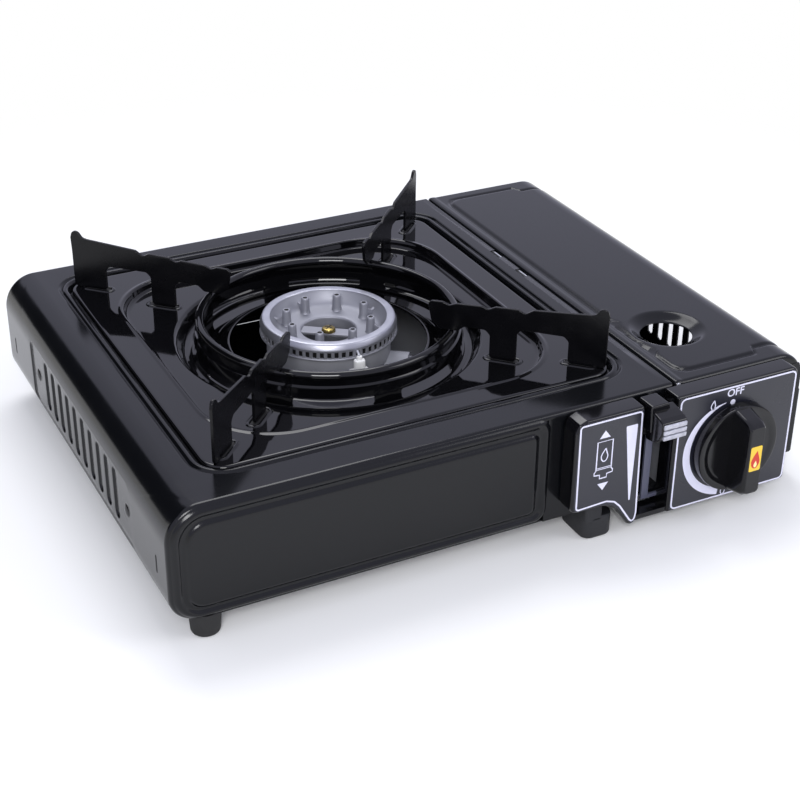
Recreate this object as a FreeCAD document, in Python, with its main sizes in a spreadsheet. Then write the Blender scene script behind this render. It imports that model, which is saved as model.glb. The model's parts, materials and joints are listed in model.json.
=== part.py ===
import FreeCAD, Part
import math
import os
import Sketcher
from FreeCAD import Placement, Rotation, Vector

# Butane cassette stove, built in millimetres with +Z up and the controls facing -Y.
# The origin lies under the middle of the whole stove, on the surface it stands on.

doc = FreeCAD.newDocument("cassette_stove")
sheet_of_sizes = doc.addObject("Spreadsheet::Sheet", "sizes")
nodes = []


class Size:
    """A cell of the sheet or a sum of cells: the expression and its value today."""

    def __init__(self, text, value):
        self.text = text
        self.value = float(value)

    def __float__(self):
        return self.value

    def __add__(self, other):
        return Size(f"({self.text} + {text_of(other)})", self.value + float(other))

    def __radd__(self, other):
        return Size(f"({text_of(other)} + {self.text})", float(other) + self.value)

    def __sub__(self, other):
        return Size(f"({self.text} - {text_of(other)})", self.value - float(other))

    def __rsub__(self, other):
        return Size(f"({text_of(other)} - {self.text})", float(other) - self.value)

    def __mul__(self, factor):
        return Size(f"({self.text} * {text_of(factor)})", self.value * float(factor))

    def __rmul__(self, factor):
        return self * factor

    def __truediv__(self, factor):
        return Size(f"({self.text} / {text_of(factor)})", self.value / float(factor))

    def __neg__(self):
        return Size(f"(-{self.text})", -self.value)


def smaller(first, second):
    """The lesser of two sizes, also when either of them changes."""
    return Size(f"min({first.text}; {second.text})", min(first.value, second.value))


def text_of(value):
    return value.text if isinstance(value, Size) else f"({float(value)!r})"


def size(name, value):
    """Write one driving dimension into the sheet and hand it back as a Size."""
    row = size.rows = size.rows + 1
    sheet_of_sizes.set(f"A{row}", name)
    sheet_of_sizes.set(f"B{row}", str(value))
    sheet_of_sizes.setAlias(f"B{row}", name)
    return Size(f"sizes.{name}", value)


size.rows = 0


# Building blocks

def bind(thing, path, value):
    thing.setExpression(path, text_of(value))


def place(thing, x=0, y=0, z=0, rotation=None):
    if rotation is not None:
        thing.Placement = Placement(Vector(), rotation)
    for axis, value in zip("xyz", (x, y, z)):
        bind(thing, f"Placement.Base.{axis}", value)
    return thing


def box(name, x, y, z):
    """A block between two corners, each side given as (low, high)."""
    block = doc.addObject("Part::Box", name)
    for side, (low, high) in zip(("Length", "Width", "Height"), (x, y, z)):
        bind(block, side, high - low)
    return place(block, x[0], y[0], z[0])


TURN_TO = {
    "x": Rotation(Vector(0, 1, 0), 90),
    "y": Rotation(Vector(1, 0, 0), -90),
    "z": Rotation(),
}


def rod(name, start, axis, radius, length):
    """A cylinder that runs from start along one axis."""
    bar = doc.addObject("Part::Cylinder", name)
    bind(bar, "Radius", radius)
    bind(bar, "Height", length)
    return place(bar, *start, rotation=TURN_TO[axis])


def taper(name, start, axis, radius_low, radius_high, length):
    """A cone frustum that runs from start along one axis."""
    cone = doc.addObject("Part::Cone", name)
    bind(cone, "Radius1", radius_low)
    bind(cone, "Radius2", radius_high)
    bind(cone, "Height", length)
    return place(cone, *start, rotation=TURN_TO[axis])


def fuse(name, pieces):
    joined = doc.addObject("Part::MultiFuse", name)
    joined.Shapes = pieces
    return joined


def cut(name, base, tools):
    tool = tools[0] if len(tools) == 1 else fuse(f"{name}_tools", tools)
    result = doc.addObject("Part::Cut", name)
    result.Base = base
    result.Tool = tool
    return result


def round_edges(name, base, radius_at):
    """Fillet the edges for which radius_at(direction, middle) gives a radius."""
    doc.recompute()
    edges = []
    for index, edge in enumerate(base.Shape.Edges, start=1):
        start, end = edge.Vertexes[0].Point, edge.Vertexes[-1].Point
        along = end - start
        if along.Length < 1e-6:
            continue
        radius = radius_at(along.normalize(), edge.CenterOfMass)
        if radius:
            edges.append((index, float(radius), float(radius)))
    rounded = doc.addObject("Part::Fillet", name)
    rounded.Base = base
    rounded.Edges = edges
    return rounded


def corner_radii(axis, centre, radii):
    """Pick a radius for the edges along one axis by the corner they stand at.

    radii maps (sign, sign) of the two other axes, in XYZ order, to a radius."""
    direction = {"x": Vector(1, 0, 0), "y": Vector(0, 1, 0), "z": Vector(0, 0, 1)}[axis]
    others = [name for name in "xyz" if name != axis]

    def radius_at(along, middle):
        if abs(along.dot(direction)) < 0.999:
            return None
        corner = tuple(1 if getattr(middle, name) > float(mid) else -1 for name, mid in zip(others, centre))
        return radii.get(corner)

    return radius_at


EVERY_CORNER = ((-1, -1), (-1, 1), (1, -1), (1, 1))


def slab(name, x, y, z, axis, radius):
    """A block whose four edges along one axis are rounded."""
    block = box(f"{name}_block", x, y, z)
    sides = [side for label, side in zip("xyz", (x, y, z)) if label != axis]
    centre = [(float(low) + float(high)) / 2 for low, high in sides]
    radii = {corner: radius for corner in EVERY_CORNER}
    return round_edges(name, block, corner_radii(axis, centre, radii))


def square_slab(name, centre, reach, radius, z):
    """An upright rounded square given by its half width."""
    x, y = centre
    return slab(name, (x - reach, x + reach), (y - reach, y + reach), z, "z", radius)


def square_ring(name, centre, outer, inner, outer_radius, inner_radius, z):
    """A rounded square frame; the cutter runs a millimetre past both faces."""
    rim = square_slab(f"{name}_outer", centre, outer, outer_radius, z)
    void = square_slab(f"{name}_inner", centre, inner, inner_radius, (z[0] - 1, z[1] + 1))
    return cut(name, rim, [void])


def slab_ring(name, x, y, z, axis, radius, width):
    """A rounded frame of the given width that lies across one axis."""
    rim = slab(f"{name}_outer", x, y, z, axis, radius)
    inner = []
    for label, (low, high) in zip("xyz", (x, y, z)):
        margin = -1 if label == axis else width
        inner.append((low + margin, high - margin))
    void = slab(f"{name}_inner", *inner, axis, radius - width)
    return cut(name, rim, [void])


# Part bodies made from sketches

def new_body(name):
    return doc.addObject("PartDesign::Body", name)


def origin_feature(body, role):
    return next(item for item in body.Origin.OriginFeatures if item.Role == role)


def new_sketch(body, role, name):
    sketch = body.newObject("Sketcher::SketchObject", name)
    sketch.AttachmentSupport = [(origin_feature(body, role), "")]
    sketch.MapMode = "FlatFace"
    return sketch


def pin_point(sketch, geometry, end, point, label):
    """Hold one sketch point at a place given by two sizes."""
    for kind, value in zip(("DistanceX", "DistanceY"), point):
        index = sketch.addConstraint(Sketcher.Constraint(kind, -1, 1, geometry, end, float(value)))
        sketch.renameConstraint(index, f"{kind}_{label}")
        sketch.setExpression(f"Constraints.{kind}_{label}", text_of(value))


def outline(body, role, name, points):
    """A closed polygon whose corners are all held by sizes."""
    sketch = new_sketch(body, role, name)
    count = len(points)
    corners = [Vector(float(x), float(y), 0) for x, y in points]
    for index in range(count):
        sketch.addGeometry(Part.LineSegment(corners[index], corners[(index + 1) % count]))
    for index in range(count):
        sketch.addConstraint(Sketcher.Constraint("Coincident", index, 2, (index + 1) % count, 1))
    for index, point in enumerate(points):
        pin_point(sketch, index, 1, point, index)
    return sketch


def circles(body, role, name, centres, radius):
    """Equal circles held at their centres."""
    sketch = new_sketch(body, role, name)
    for index, centre in enumerate(centres):
        middle = Vector(float(centre[0]), float(centre[1]), 0)
        sketch.addGeometry(Part.Circle(middle, Vector(0, 0, 1), float(radius)))
        pin_point(sketch, index, 3, centre, index)
        mark = sketch.addConstraint(Sketcher.Constraint("Radius", index, float(radius)))
        sketch.renameConstraint(mark, f"Radius_{index}")
        sketch.setExpression(f"Constraints.Radius_{index}", text_of(radius))
    return sketch


def pad(body, sketch, length, middle=False, backwards=False):
    feature = body.newObject("PartDesign::Pad", f"{sketch.Name}_pad")
    feature.Profile = sketch
    feature.Midplane = middle
    feature.Reversed = backwards
    bind(feature, "Length", length)
    return feature


def pocket(body, sketch, length, middle=False, backwards=False):
    feature = body.newObject("PartDesign::Pocket", f"{sketch.Name}_pocket")
    feature.Profile = sketch
    feature.Midplane = middle
    feature.Reversed = backwards
    bind(feature, "Length", length)
    return feature


def turned(body, sketch):
    """Turn a sketch all the way round its own vertical axis."""
    feature = body.newObject("PartDesign::Revolution", f"{sketch.Name}_turned")
    feature.Profile = sketch
    feature.ReferenceAxis = (sketch, ["V_Axis"])
    feature.Angle = 360
    return feature


def around(body, feature, count):
    """Repeat a feature evenly round the body's upright axis."""
    pattern = body.newObject("PartDesign::PolarPattern", f"{feature.Name}_ring")
    pattern.Originals = [feature]
    pattern.Axis = (origin_feature(body, "Z_Axis"), [""])
    pattern.Angle = 360
    pattern.Occurrences = count
    body.Tip = pattern
    return pattern


def keep(thing):
    """Count a finished sub-part among the nodes that are written out."""
    nodes.append(thing)
    return thing


# Driving dimensions of the case
body_width = size("body_width", 344)
body_depth = size("body_depth", 264)
knob_reach = size("knob_reach", 32)
top_height = size("top_height", 72.5)
wall_bottom = size("wall_bottom", 12.5)
sheet = size("sheet", 0.8)
bay_width = size("bay_width", 81)
left_shoulder = size("left_shoulder", 26)
lower_corner = size("lower_corner", 14)
turned_edge = size("turned_edge", 20)
seam_flange = size("seam_flange", 12)
emboss_height = size("emboss_height", 1.5)
emboss_margin = size("emboss_margin", 7)
rim_width = size("rim_width", 2.6)
rim_height = size("rim_height", 1.2)

half = body_width / 2
seam_x = half - bay_width
front = (knob_reach - body_depth) / 2
back = (knob_reach + body_depth) / 2 - emboss_height
inner_front = front + sheet
inner_back = back - sheet

# Place of the drip tray in the case, whose shorter side sets its reach
tray_left_gap = size("tray_left_gap", 30)
tray_right_gap = size("tray_right_gap", 17)
tray_front_gap = size("tray_front_gap", 25)
tray_back_gap = size("tray_back_gap", 21.5)
tray_reach = smaller(
    (seam_x + half - tray_left_gap - tray_right_gap) / 2,
    (back - front - tray_front_gap - tray_back_gap) / 2,
)
burner_x = seam_x - tray_right_gap - tray_reach
burner_y = front + tray_front_gap + tray_reach
centre = (burner_x, burner_y)

# Drip tray: the dish, the ring and the burner keep their shares of its reach
tray_corner = size("tray_corner", 12)
tray_gap = size("tray_gap", 1.5)
tray_drop = size("tray_drop", 0.8)
tray_skirt = size("tray_skirt", 4.7)
ledge_width = size("ledge_width", 7)
bead_offset = size("bead_offset", 7.2)
bead_width = size("bead_width", 2.8)
bead_depth = size("bead_depth", 1.3)
basin_depth = size("basin_depth", 4.2)
dish_depth = size("dish_depth", 7.7)
collar_rise = size("collar_rise", 5)

bead_reach = tray_reach + bead_offset
basin_reach = tray_reach * 23 / 27
basin_corner = tray_reach * 10 / 27
dish_radius = tray_reach * 20 / 27
dish_floor_outer = tray_reach * 25 / 36
dish_floor_inner = tray_reach * 5 / 9
collar_radius = tray_reach * 35 / 72
tray_top = top_height - tray_drop
ledge_top = tray_top - tray_skirt
basin_floor = tray_top - basin_depth
dish_floor = basin_floor - dish_depth

# Pan ring and pan supports
ring_roll = size("ring_roll", 4)
ring_top = size("ring_top", 80)
ring_wall = size("ring_wall", 1.2)
ring_foot = size("ring_foot", 3)
ring_windows = 8
window_height = size("window_height", 6.5)
support_sheet = size("support_sheet", 1.6)
support_margin = size("support_margin", 0.76)
support_rise = size("support_rise", 24.2)
support_height = ring_top + support_rise
support_tip = size("support_tip", 32.8)
outer_leg = size("outer_leg", 19.5)
inner_leg = size("inner_leg", 14)

ring_radius = tray_reach * 5 / 8
window_width = ring_radius * 68 / 135
inner_leg_radius = tray_reach * 29 / 36
support_reach = (tray_reach - tray_corner) * 1.41421 + tray_corner - support_margin

# Burner
head_top = size("head_top", 77)
head_rim = size("head_rim", 5.2)
head_floor = size("head_floor", 69.5)
post_radius = size("post_radius", 2.1)
post_bore = size("post_bore", 0.9)
post_count = 8
post_start = 9.0
port_count = 60
port_width = size("port_width", 1.6)
bridge_width = size("bridge_width", 8)
cup_inset = size("cup_inset", 3.1)
cup_bottom = size("cup_bottom", 36)
neck_reach = size("neck_reach", 10)
tube_radius = size("tube_radius", 9)
tube_wall = size("tube_wall", 1)
tube_height = size("tube_height", 47.2)
tube_bearing = -36.0
bracket_width = size("bracket_width", 20)
bracket_reach = size("bracket_reach", 28)
bracket_sheet = size("bracket_sheet", 1.2)
bracket_toe = size("bracket_toe", 8)

head_radius = tray_reach * 89 / 270
head_opening = head_radius * 0.379
post_circle = head_radius * 0.626
cup_radius = head_radius - cup_inset
tube_reach = seam_x - burner_x - 3

# Ignition: electrode by the burner, its bracket and lead, and the igniter behind the knob
electrode_gap = size("electrode_gap", 3.4)
electrode_low = size("electrode_low", 50)
electrode_high = size("electrode_high", 66)
insulator_radius = size("insulator_radius", 2.6)
lead_inset = size("lead_inset", 32)
lead_z = size("lead_z", 56)
lead_radius = size("lead_radius", 1.2)
igniter_radius = size("igniter_radius", 5)
igniter_depth = size("igniter_depth", 24)

electrode_x = burner_x - 1
electrode_y = burner_y - head_radius - electrode_gap
lead_y = front + lead_inset
igniter_back = front + igniter_depth

# Controls
panel_stand = size("panel_stand", 12.2)
panel_thickness = size("panel_thickness", 1.7)
label_width = size("label_width", 39)
slot_left_inset = size("slot_left_inset", 24.5)
slot_right_inset = size("slot_right_inset", 6.2)
panel_margin = size("panel_margin", 13.8)
panel_top = size("panel_top", 71.9)
panel_bottom = size("panel_bottom", 5.7)
label_bottom = size("label_bottom", 20.6)
label_tail = size("label_tail", 4.6)
housing_wall = size("housing_wall", 1.2)
knob_margin = size("knob_margin", 51.5)
knob_z = size("knob_z", 37.6)
knob_radius = size("knob_radius", 23.7)
knob_disc = size("knob_disc", 6)
knob_gap = size("knob_gap", 0.6)
hub_reach = size("hub_reach", 6)
grip_width = size("grip_width", 9)
spindle_radius = size("spindle_radius", 3)
running_gap = size("running_gap", 0.05)
sticker = size("sticker", 0.2)
sticker_low = size("sticker_low", -5.7)
sticker_high = size("sticker_high", 8.3)

slot_left = seam_x - slot_left_inset
slot_right = seam_x - slot_right_inset
label_left = slot_left - label_width
housing_step = seam_x
panel_right = half - panel_margin
knob_x = half - knob_margin
igniter_x = knob_x - 17.5
panel_face = front - panel_stand
panel_back = panel_face + panel_thickness
disc_back = panel_face - knob_gap
disc_face = disc_back - knob_disc
grip_face = front - knob_reach + sticker

# Lock lever, its slit and the carriage that it draws forward
lever_inset = size("lever_inset", 9.2)
lever_thickness = size("lever_thickness", 3.2)
slit_side = size("slit_side", 0.9)
slit_bottom = size("slit_bottom", 12.9)
slit_top = size("slit_top", 66)
pivot_inset = size("pivot_inset", 18)
pivot_z = size("pivot_z", 38)
pivot_radius = size("pivot_radius", 2)
stud_rise = size("stud_rise", 8)
stud_room = size("stud_room", 2.4)
handle_stand = size("handle_stand", 3.5)
handle_low = size("handle_low", 50)
carriage_travel = size("carriage_travel", 6.1)
carriage_end_gap = size("carriage_end_gap", 1.5)
carriage_low = size("carriage_low", 41.5)
carriage_high = size("carriage_high", 46.5)
carriage_drop = size("carriage_drop", 12.5)
carriage_sheet = size("carriage_sheet", 1.6)
slide_gap = size("slide_gap", 0.25)
rail_gap = size("rail_gap", 0.4)
fork_inset = size("fork_inset", 67.5)

lever_x = seam_x - lever_inset
slit_left = lever_x - lever_thickness / 2 - slit_side
slit_right = lever_x + lever_thickness / 2 + slit_side * 3.2
pivot_y = front + pivot_inset
handle_back = front - handle_stand
carriage_tongue = (pivot_y + 2.4, pivot_y + 6)
fork_y = front + fork_inset

# Cartridge bay, its lid and the cradle
lid_shoulder = size("lid_shoulder", 15)
lid_skirt_side = size("lid_skirt_side", 22.5)
lid_skirt_end = size("lid_skirt_end", 6)
lid_gap = size("lid_gap", 0.5)
lid_front_gap = size("lid_front_gap", 0.4)
lid_side_gap = size("lid_side_gap", 0.4)
lid_end_gap = size("lid_end_gap", 0.3)
hinge_radius = size("hinge_radius", 2)
hinge_pin_radius = size("hinge_pin_radius", 1.2)
hinge_gap = size("hinge_gap", 1)
hinge_web = size("hinge_web", 2.5)
pin_length = size("pin_length", 18)
notch_inset = size("notch_inset", 138)
notch_pitch = size("notch_pitch", 28)
notch_width = size("notch_width", 10)
notch_depth = size("notch_depth", 4)
line_inset = size("line_inset", 6)
line_width = size("line_width", 2.2)
line_depth = size("line_depth", 0.45)
line_right = size("line_right", 19)
line_end = size("line_end", 10)
finger_hole = size("finger_hole", 13.5)
finger_dish = size("finger_dish", 20)
finger_depth = size("finger_depth", 3)
finger_inset = size("finger_inset", 51.2)
pan_flange = size("pan_flange", 8)
trough_bottom = size("trough_bottom", 1.6)
trough_margin = size("trough_margin", 6)
cartridge_margin = size("cartridge_margin", 44.5)
cartridge_radius = size("cartridge_radius", 33.5)
cartridge_clearance = size("cartridge_clearance", 0.5)
cradle_inset = size("cradle_inset", 80)
cradle_back_gap = size("cradle_back_gap", 10.5)

hinge_x = seam_x + hinge_gap + hinge_radius
hinge_z = top_height - hinge_radius
notch_first = front + notch_inset
trough_right = half - trough_margin
cartridge_x = half - cartridge_margin
finger_x = cartridge_x - 5.5
finger_y = front + finger_inset
cradle_radius = cartridge_radius + cartridge_clearance
cartridge_z = trough_bottom + sheet * 2 + cradle_radius
cradle_front = front + cradle_inset
cradle_length = back - cradle_front - cradle_back_gap

# Gas path: nozzle at the mixing tube's mouth, pipe through the partition, regulator and valve
pipe_radius = size("pipe_radius", 2.5)
nozzle_radius = size("nozzle_radius", 4)
tube_plate_sheet = size("tube_plate_sheet", 1.2)
tube_plate_width = size("tube_plate_width", 28)
tube_plate_rise = size("tube_plate_rise", 14)
regulator_left_part = size("regulator_left_part", 24.5)
regulator_right_part = size("regulator_right_part", 22.5)
regulator_front_inset = size("regulator_front_inset", 13)
regulator_back_inset = size("regulator_back_inset", 50)
regulator_bottom = size("regulator_bottom", 18)
regulator_top = size("regulator_top", 51)
regulator_corner = size("regulator_corner", 6)
chamber_radius = size("chamber_radius", 15)
chamber_depth = size("chamber_depth", 5)
chamber_inset = size("chamber_inset", 20.5)
cap_height = size("cap_height", 10)
inlet_radius = size("inlet_radius", 12)
inlet_reach = size("inlet_reach", 10)
inlet_bore = size("inlet_bore", 4.6)
inlet_depth = size("inlet_depth", 14)
seal_radius = size("seal_radius", 8)
seal_depth = size("seal_depth", 2.4)
valve_radius = size("valve_radius", 9)
valve_reach = size("valve_reach", 5)
spindle_inset = size("spindle_inset", 8)

regulator_left = cartridge_x - regulator_left_part
regulator_right = cartridge_x + regulator_right_part
regulator_front = front + regulator_front_inset
regulator_back = front + regulator_back_inset
inlet_face = regulator_back + inlet_reach
chamber = (cartridge_x, regulator_back - chamber_inset)
valve_front = front - valve_reach
spindle_back = front + spindle_inset

# Vents in the two side walls
vent_count = 10
vent_width = size("vent_width", 5.4)
vent_pitch = size("vent_pitch", 12.6)
vent_bottom = size("vent_bottom", 27.5)
vent_height = size("vent_height", 27)
vent_inset = size("vent_inset", 74)
right_vent_count = 14
right_vent_width = size("right_vent_width", 4.6)
right_vent_pitch = size("right_vent_pitch", 9.5)
right_vent_bottom = size("right_vent_bottom", 22)
right_vent_top_gap = size("right_vent_top_gap", 5.5)
screw_radius = size("screw_radius", 2.6)
screw_offset = size("screw_offset", 16)
screw_height = size("screw_height", 40)
screw_head = size("screw_head", 1.0)

vent_first = front + vent_inset
right_wall_top = top_height - lid_skirt_side - lid_gap

# Heat shield and feet
shield_clearance = size("shield_clearance", 42)
shield_side_gap = size("shield_side_gap", 5)
shield_front_inset = size("shield_front_inset", 86)
shield_back_inset = size("shield_back_inset", 26.5)
shield_height = size("shield_height", 30)
foot_radius = size("foot_radius", 7)
foot_inset = size("foot_inset", 18.6)
foot_front = size("foot_front", 8.5)
front_foot_inset = size("front_foot_inset", 11.5)
front_foot_width = size("front_foot_width", 17)
front_foot_lip = size("front_foot_lip", 10)
front_foot_reach = size("front_foot_reach", 8)
front_foot_depth = size("front_foot_depth", 16)
front_foot_round = size("front_foot_round", 6)
lip_rise = size("lip_rise", 6.5)


# Top shell: the burner side's top, its left wall and the flange along the seam

def vent_cutters(prefix, x, z, count, first, pitch, width):
    """A row of upright slots to be cut through a side wall."""
    slots = []
    for index in range(count):
        middle = first + pitch * index
        slots.append(
            slab(f"{prefix}_vent_{index}", x, (middle - width / 2, middle + width / 2), z, "x", width * 0.48)
        )
    return slots


def screw_places():
    """Y positions of the two wall screws, one beyond each end of the vents."""
    return (vent_first - screw_offset, vent_first + vent_pitch * (vent_count - 1) + screw_offset)


def top_shell():
    y = (inner_front, inner_back)
    outer_block = box("shell_outer_block", (-half, seam_x), y, (wall_bottom, top_height))
    inner_block = box(
        "shell_inner_block",
        (-half + sheet, seam_x - sheet),
        (y[0] - 1, y[1] + 1),
        (wall_bottom + sheet, top_height - sheet),
    )
    middle = (0, 40)
    bends = {(-1, 1): left_shoulder, (-1, -1): lower_corner}
    inner_bends = {corner: radius - sheet for corner, radius in bends.items()}
    outer = round_edges("shell_outer", outer_block, corner_radii("y", middle, bends))
    inner = round_edges("shell_inner", inner_block, corner_radii("y", middle, inner_bends))
    below_flange = box(
        "shell_below_flange",
        (0, seam_x + 1),
        (y[0] - 1, y[1] + 1),
        (wall_bottom - 1, top_height - seam_flange),
    )
    under = box(
        "shell_under",
        (-half + turned_edge, 1),
        (y[0] - 1, y[1] + 1),
        (wall_bottom - 1, wall_bottom + sheet + 1),
    )
    skin = cut("shell_skin", outer, [inner, below_flange, under])
    bead = square_ring(
        "shell_bead",
        centre,
        bead_reach + sheet,
        bead_reach - bead_width - sheet,
        tray_corner * 1.6 + sheet,
        tray_corner * 1.6 - bead_width - sheet,
        (top_height - bead_depth - sheet, top_height - sheet),
    )
    recess_reach = tray_reach + tray_gap
    wall = square_ring(
        "shell_recess_wall",
        centre,
        recess_reach + sheet,
        recess_reach,
        tray_corner + tray_gap + sheet,
        tray_corner + tray_gap,
        (ledge_top - sheet, top_height - sheet),
    )
    ledge = square_ring(
        "shell_ledge",
        centre,
        recess_reach,
        recess_reach - ledge_width,
        tray_corner + tray_gap,
        tray_corner,
        (ledge_top - sheet, ledge_top),
    )
    opening = square_slab(
        "shell_opening", centre, recess_reach, tray_corner + tray_gap, (ledge_top - 1, top_height + 1)
    )
    groove = square_ring(
        "shell_groove",
        centre,
        bead_reach,
        bead_reach - bead_width,
        tray_corner * 1.6,
        tray_corner * 1.6 - bead_width,
        (top_height - bead_depth, top_height + 1),
    )
    beaded = cut("shell_beaded", fuse("shell_with_bead", [skin, bead]), [opening, groove])
    formed = fuse("shell_formed", [beaded, wall, ledge])
    notches = []
    for index in range(2):
        low = notch_first + notch_pitch * index
        notches.append(
            box(
                f"shell_notch_{index}",
                (seam_x - notch_depth, seam_x + 1),
                (low, low + notch_width),
                (top_height - notch_depth, top_height + 1),
            )
        )
    holes = [
        rod(f"shell_screw_hole_{index}", (-half - 1, y_place, screw_height), "x", screw_radius / 2, sheet + 2)
        for index, y_place in enumerate(screw_places())
    ]
    vents = vent_cutters(
        "shell",
        (-half - 1, -half + sheet + 1),
        (vent_bottom, vent_bottom + vent_height),
        vent_count,
        vent_first,
        vent_pitch,
        vent_width,
    )
    return keep(cut("top_shell", formed, notches + holes + vents))


# Front and back plates: stamped ends with a rolled rim and a raised panel


def plate_outline(name, y):
    """The end outline, rounded like the case and lowered where the lid comes over it."""
    block = box(f"{name}_block", (-half, half - sheet - lid_side_gap), y, (wall_bottom, top_height))
    radii = {
        (-1, 1): left_shoulder,
        (-1, -1): lower_corner,
        (1, -1): sheet * 1.5,
        (1, 1): lid_shoulder - sheet - lid_side_gap,
    }
    rounded = round_edges(f"{name}_rounded", block, corner_radii("y", (0, 40), radii))
    lid_space = box(
        f"{name}_lid_space",
        (hinge_x + hinge_web, half + 1),
        (y[0] - 1, y[1] + 1),
        (top_height - lid_skirt_end - lid_gap, top_height + 1),
    )
    return cut(name, rounded, [lid_space])


def rolled_rim(name, x, y, z):
    """The raised edge that follows the case round its shoulder."""
    frames = []
    for label, inset in (("outer", 0), ("inner", rim_width)):
        margin = 1 if label == "inner" else 0
        block = box(
            f"{name}_{label}_block",
            (x[0] + inset, x[1] - inset),
            (y[0] - margin, y[1] + margin),
            (z[0] + inset, z[1] - inset),
        )
        radii = {corner: lower_corner / 2 - inset for corner in EVERY_CORNER}
        radii[(-1, -1)] = lower_corner - inset
        radii[(-1, 1)] = left_shoulder - inset
        frames.append(round_edges(f"{name}_{label}", block, corner_radii("y", (-half / 2, 40), radii)))
    return cut(name, frames[0], [frames[1]])


def end_plate(name, face, inward, panel_x, windows):
    """One end plate; face is its outer plane and inward is +1 or -1 along Y."""
    low, high = (face, face + sheet) if inward > 0 else (face - sheet, face)
    flat = plate_outline(f"{name}_flat", (low, high))
    rim_y = (face - rim_height, face) if inward > 0 else (face, face + rim_height)
    rim_x = (-half + 0.2, panel_x[1] + emboss_margin)
    rim = rolled_rim(f"{name}_rim", rim_x, rim_y, (wall_bottom + 0.2, top_height - 0.2))
    boss_y = (face - emboss_height, face + sheet) if inward > 0 else (face - sheet, face + emboss_height)
    boss_z = (wall_bottom + emboss_margin, top_height - emboss_margin)
    boss = slab(f"{name}_boss", panel_x, boss_y, boss_z, "y", lower_corner)
    hollow_y = (
        (face - emboss_height + sheet, face + sheet + 1)
        if inward > 0
        else (face - sheet - 1, face + emboss_height - sheet)
    )
    hollow = slab(
        f"{name}_hollow",
        (panel_x[0] + sheet, panel_x[1] - sheet),
        hollow_y,
        (boss_z[0] + sheet, boss_z[1] - sheet),
        "y",
        lower_corner - sheet,
    )
    formed = fuse(f"{name}_formed", [flat, rim, boss])
    return keep(cut(name, formed, [hollow] + windows))


def front_plate():
    through = (front - 1, inner_front + 1)
    pin_hole = rod("front_pin_hole", (hinge_x, through[0], hinge_z), "y", hinge_pin_radius + 0.02, sheet + 2)
    windows = [
        box("front_lever_window", (slit_left, slit_right), through, (slit_bottom, slit_top)),
        rod("front_valve_hole", (knob_x, through[0], knob_z), "y", valve_radius + 0.3, sheet + 2),
        box("front_trough_gap", (seam_x, trough_right), through, (wall_bottom - 1, wall_bottom + 0.4)),
        pin_hole,
    ]
    panel_x = (-half + emboss_margin, label_left - emboss_margin * 2)
    return end_plate("front_plate", front, 1, panel_x, windows)


def back_plate():
    through = (inner_back - 1, back + 1)
    pin_hole = rod("back_pin_hole", (hinge_x, through[0], hinge_z), "y", hinge_pin_radius + 0.02, sheet + 2)
    panel_x = (-half + emboss_margin, seam_x - emboss_margin * 2)
    return end_plate("back_plate", back, -1, panel_x, [pin_hole])


# Right wall, base pan and partition

def right_wall():
    wall = box(
        "right_wall_sheet",
        (half - sheet, half),
        (inner_front, inner_back),
        (wall_bottom, right_wall_top),
    )
    vents = vent_cutters(
        "right_wall",
        (half - sheet - 1, half + 1),
        (right_vent_bottom, right_wall_top - right_vent_top_gap),
        right_vent_count,
        vent_first,
        right_vent_pitch,
        right_vent_width,
    )
    screw_holes = [
        rod(
            f"right_wall_screw_hole_{index}",
            (half - sheet - 1, y, screw_height),
            "x",
            screw_radius / 2,
            sheet + 2,
        )
        for index, y in enumerate(screw_places())
    ]
    return keep(cut("right_wall", wall, vents + screw_holes))


def base_pan():
    """Bottom sheet: a raised floor at the left and a deep trough for the cartridge."""
    left = -half + turned_edge
    right = half - sheet
    step = seam_x - sheet * 2
    floor = wall_bottom
    profile = [
        (left, floor),
        (step, floor),
        (step, trough_bottom),
        (trough_right, trough_bottom),
        (trough_right, floor),
        (right, floor),
        (right, floor + pan_flange),
        (right - sheet, floor + pan_flange),
        (right - sheet, floor + sheet),
        (trough_right - sheet, floor + sheet),
        (trough_right - sheet, trough_bottom + sheet),
        (step + sheet, trough_bottom + sheet),
        (step + sheet, floor + sheet),
        (left + sheet, floor + sheet),
        (left + sheet, floor + pan_flange),
        (left, floor + pan_flange),
    ]
    sheet_run = new_body("base_pan_run")
    pad(sheet_run, outline(sheet_run, "XZ_Plane", "base_pan_profile", profile), inner_back - inner_front)
    place(sheet_run, y=inner_back)
    ends = [
        box(
            f"base_pan_end_{label}",
            (step + sheet, trough_right - sheet),
            side,
            (trough_bottom + sheet, floor + sheet),
        )
        for label, side in (
            ("front", (inner_front, inner_front + sheet)),
            ("back", (inner_back - sheet, inner_back)),
        )
    ]
    return keep(fuse("base_pan", [sheet_run] + ends))


def partition_plate():
    """Upright sheet between the burner side and the cartridge bay."""
    right = seam_x - sheet
    wall = box(
        "partition_sheet",
        (right - sheet, right),
        (inner_front, inner_back),
        (wall_bottom + sheet, top_height - sheet),
    )
    pipe_hole = along_tube("partition_pipe_hole", tube_reach, pipe_radius + 1.5, 60)
    lead_hole = rod(
        "partition_lead_hole", (right - sheet - 1, lead_y, lead_z), "x", lead_radius + 1, sheet + 2
    )
    carriage_slot = box(
        "partition_carriage_slot",
        (right - sheet - 1, right + 1),
        (carriage_tongue[0] - carriage_travel - carriage_end_gap, carriage_tongue[1] + 1),
        (carriage_low - 0.5, carriage_high + 0.5),
    )
    return keep(cut("partition_plate", wall, [pipe_hole, lead_hole, carriage_slot]))


# Lid over the cartridge bay


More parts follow.
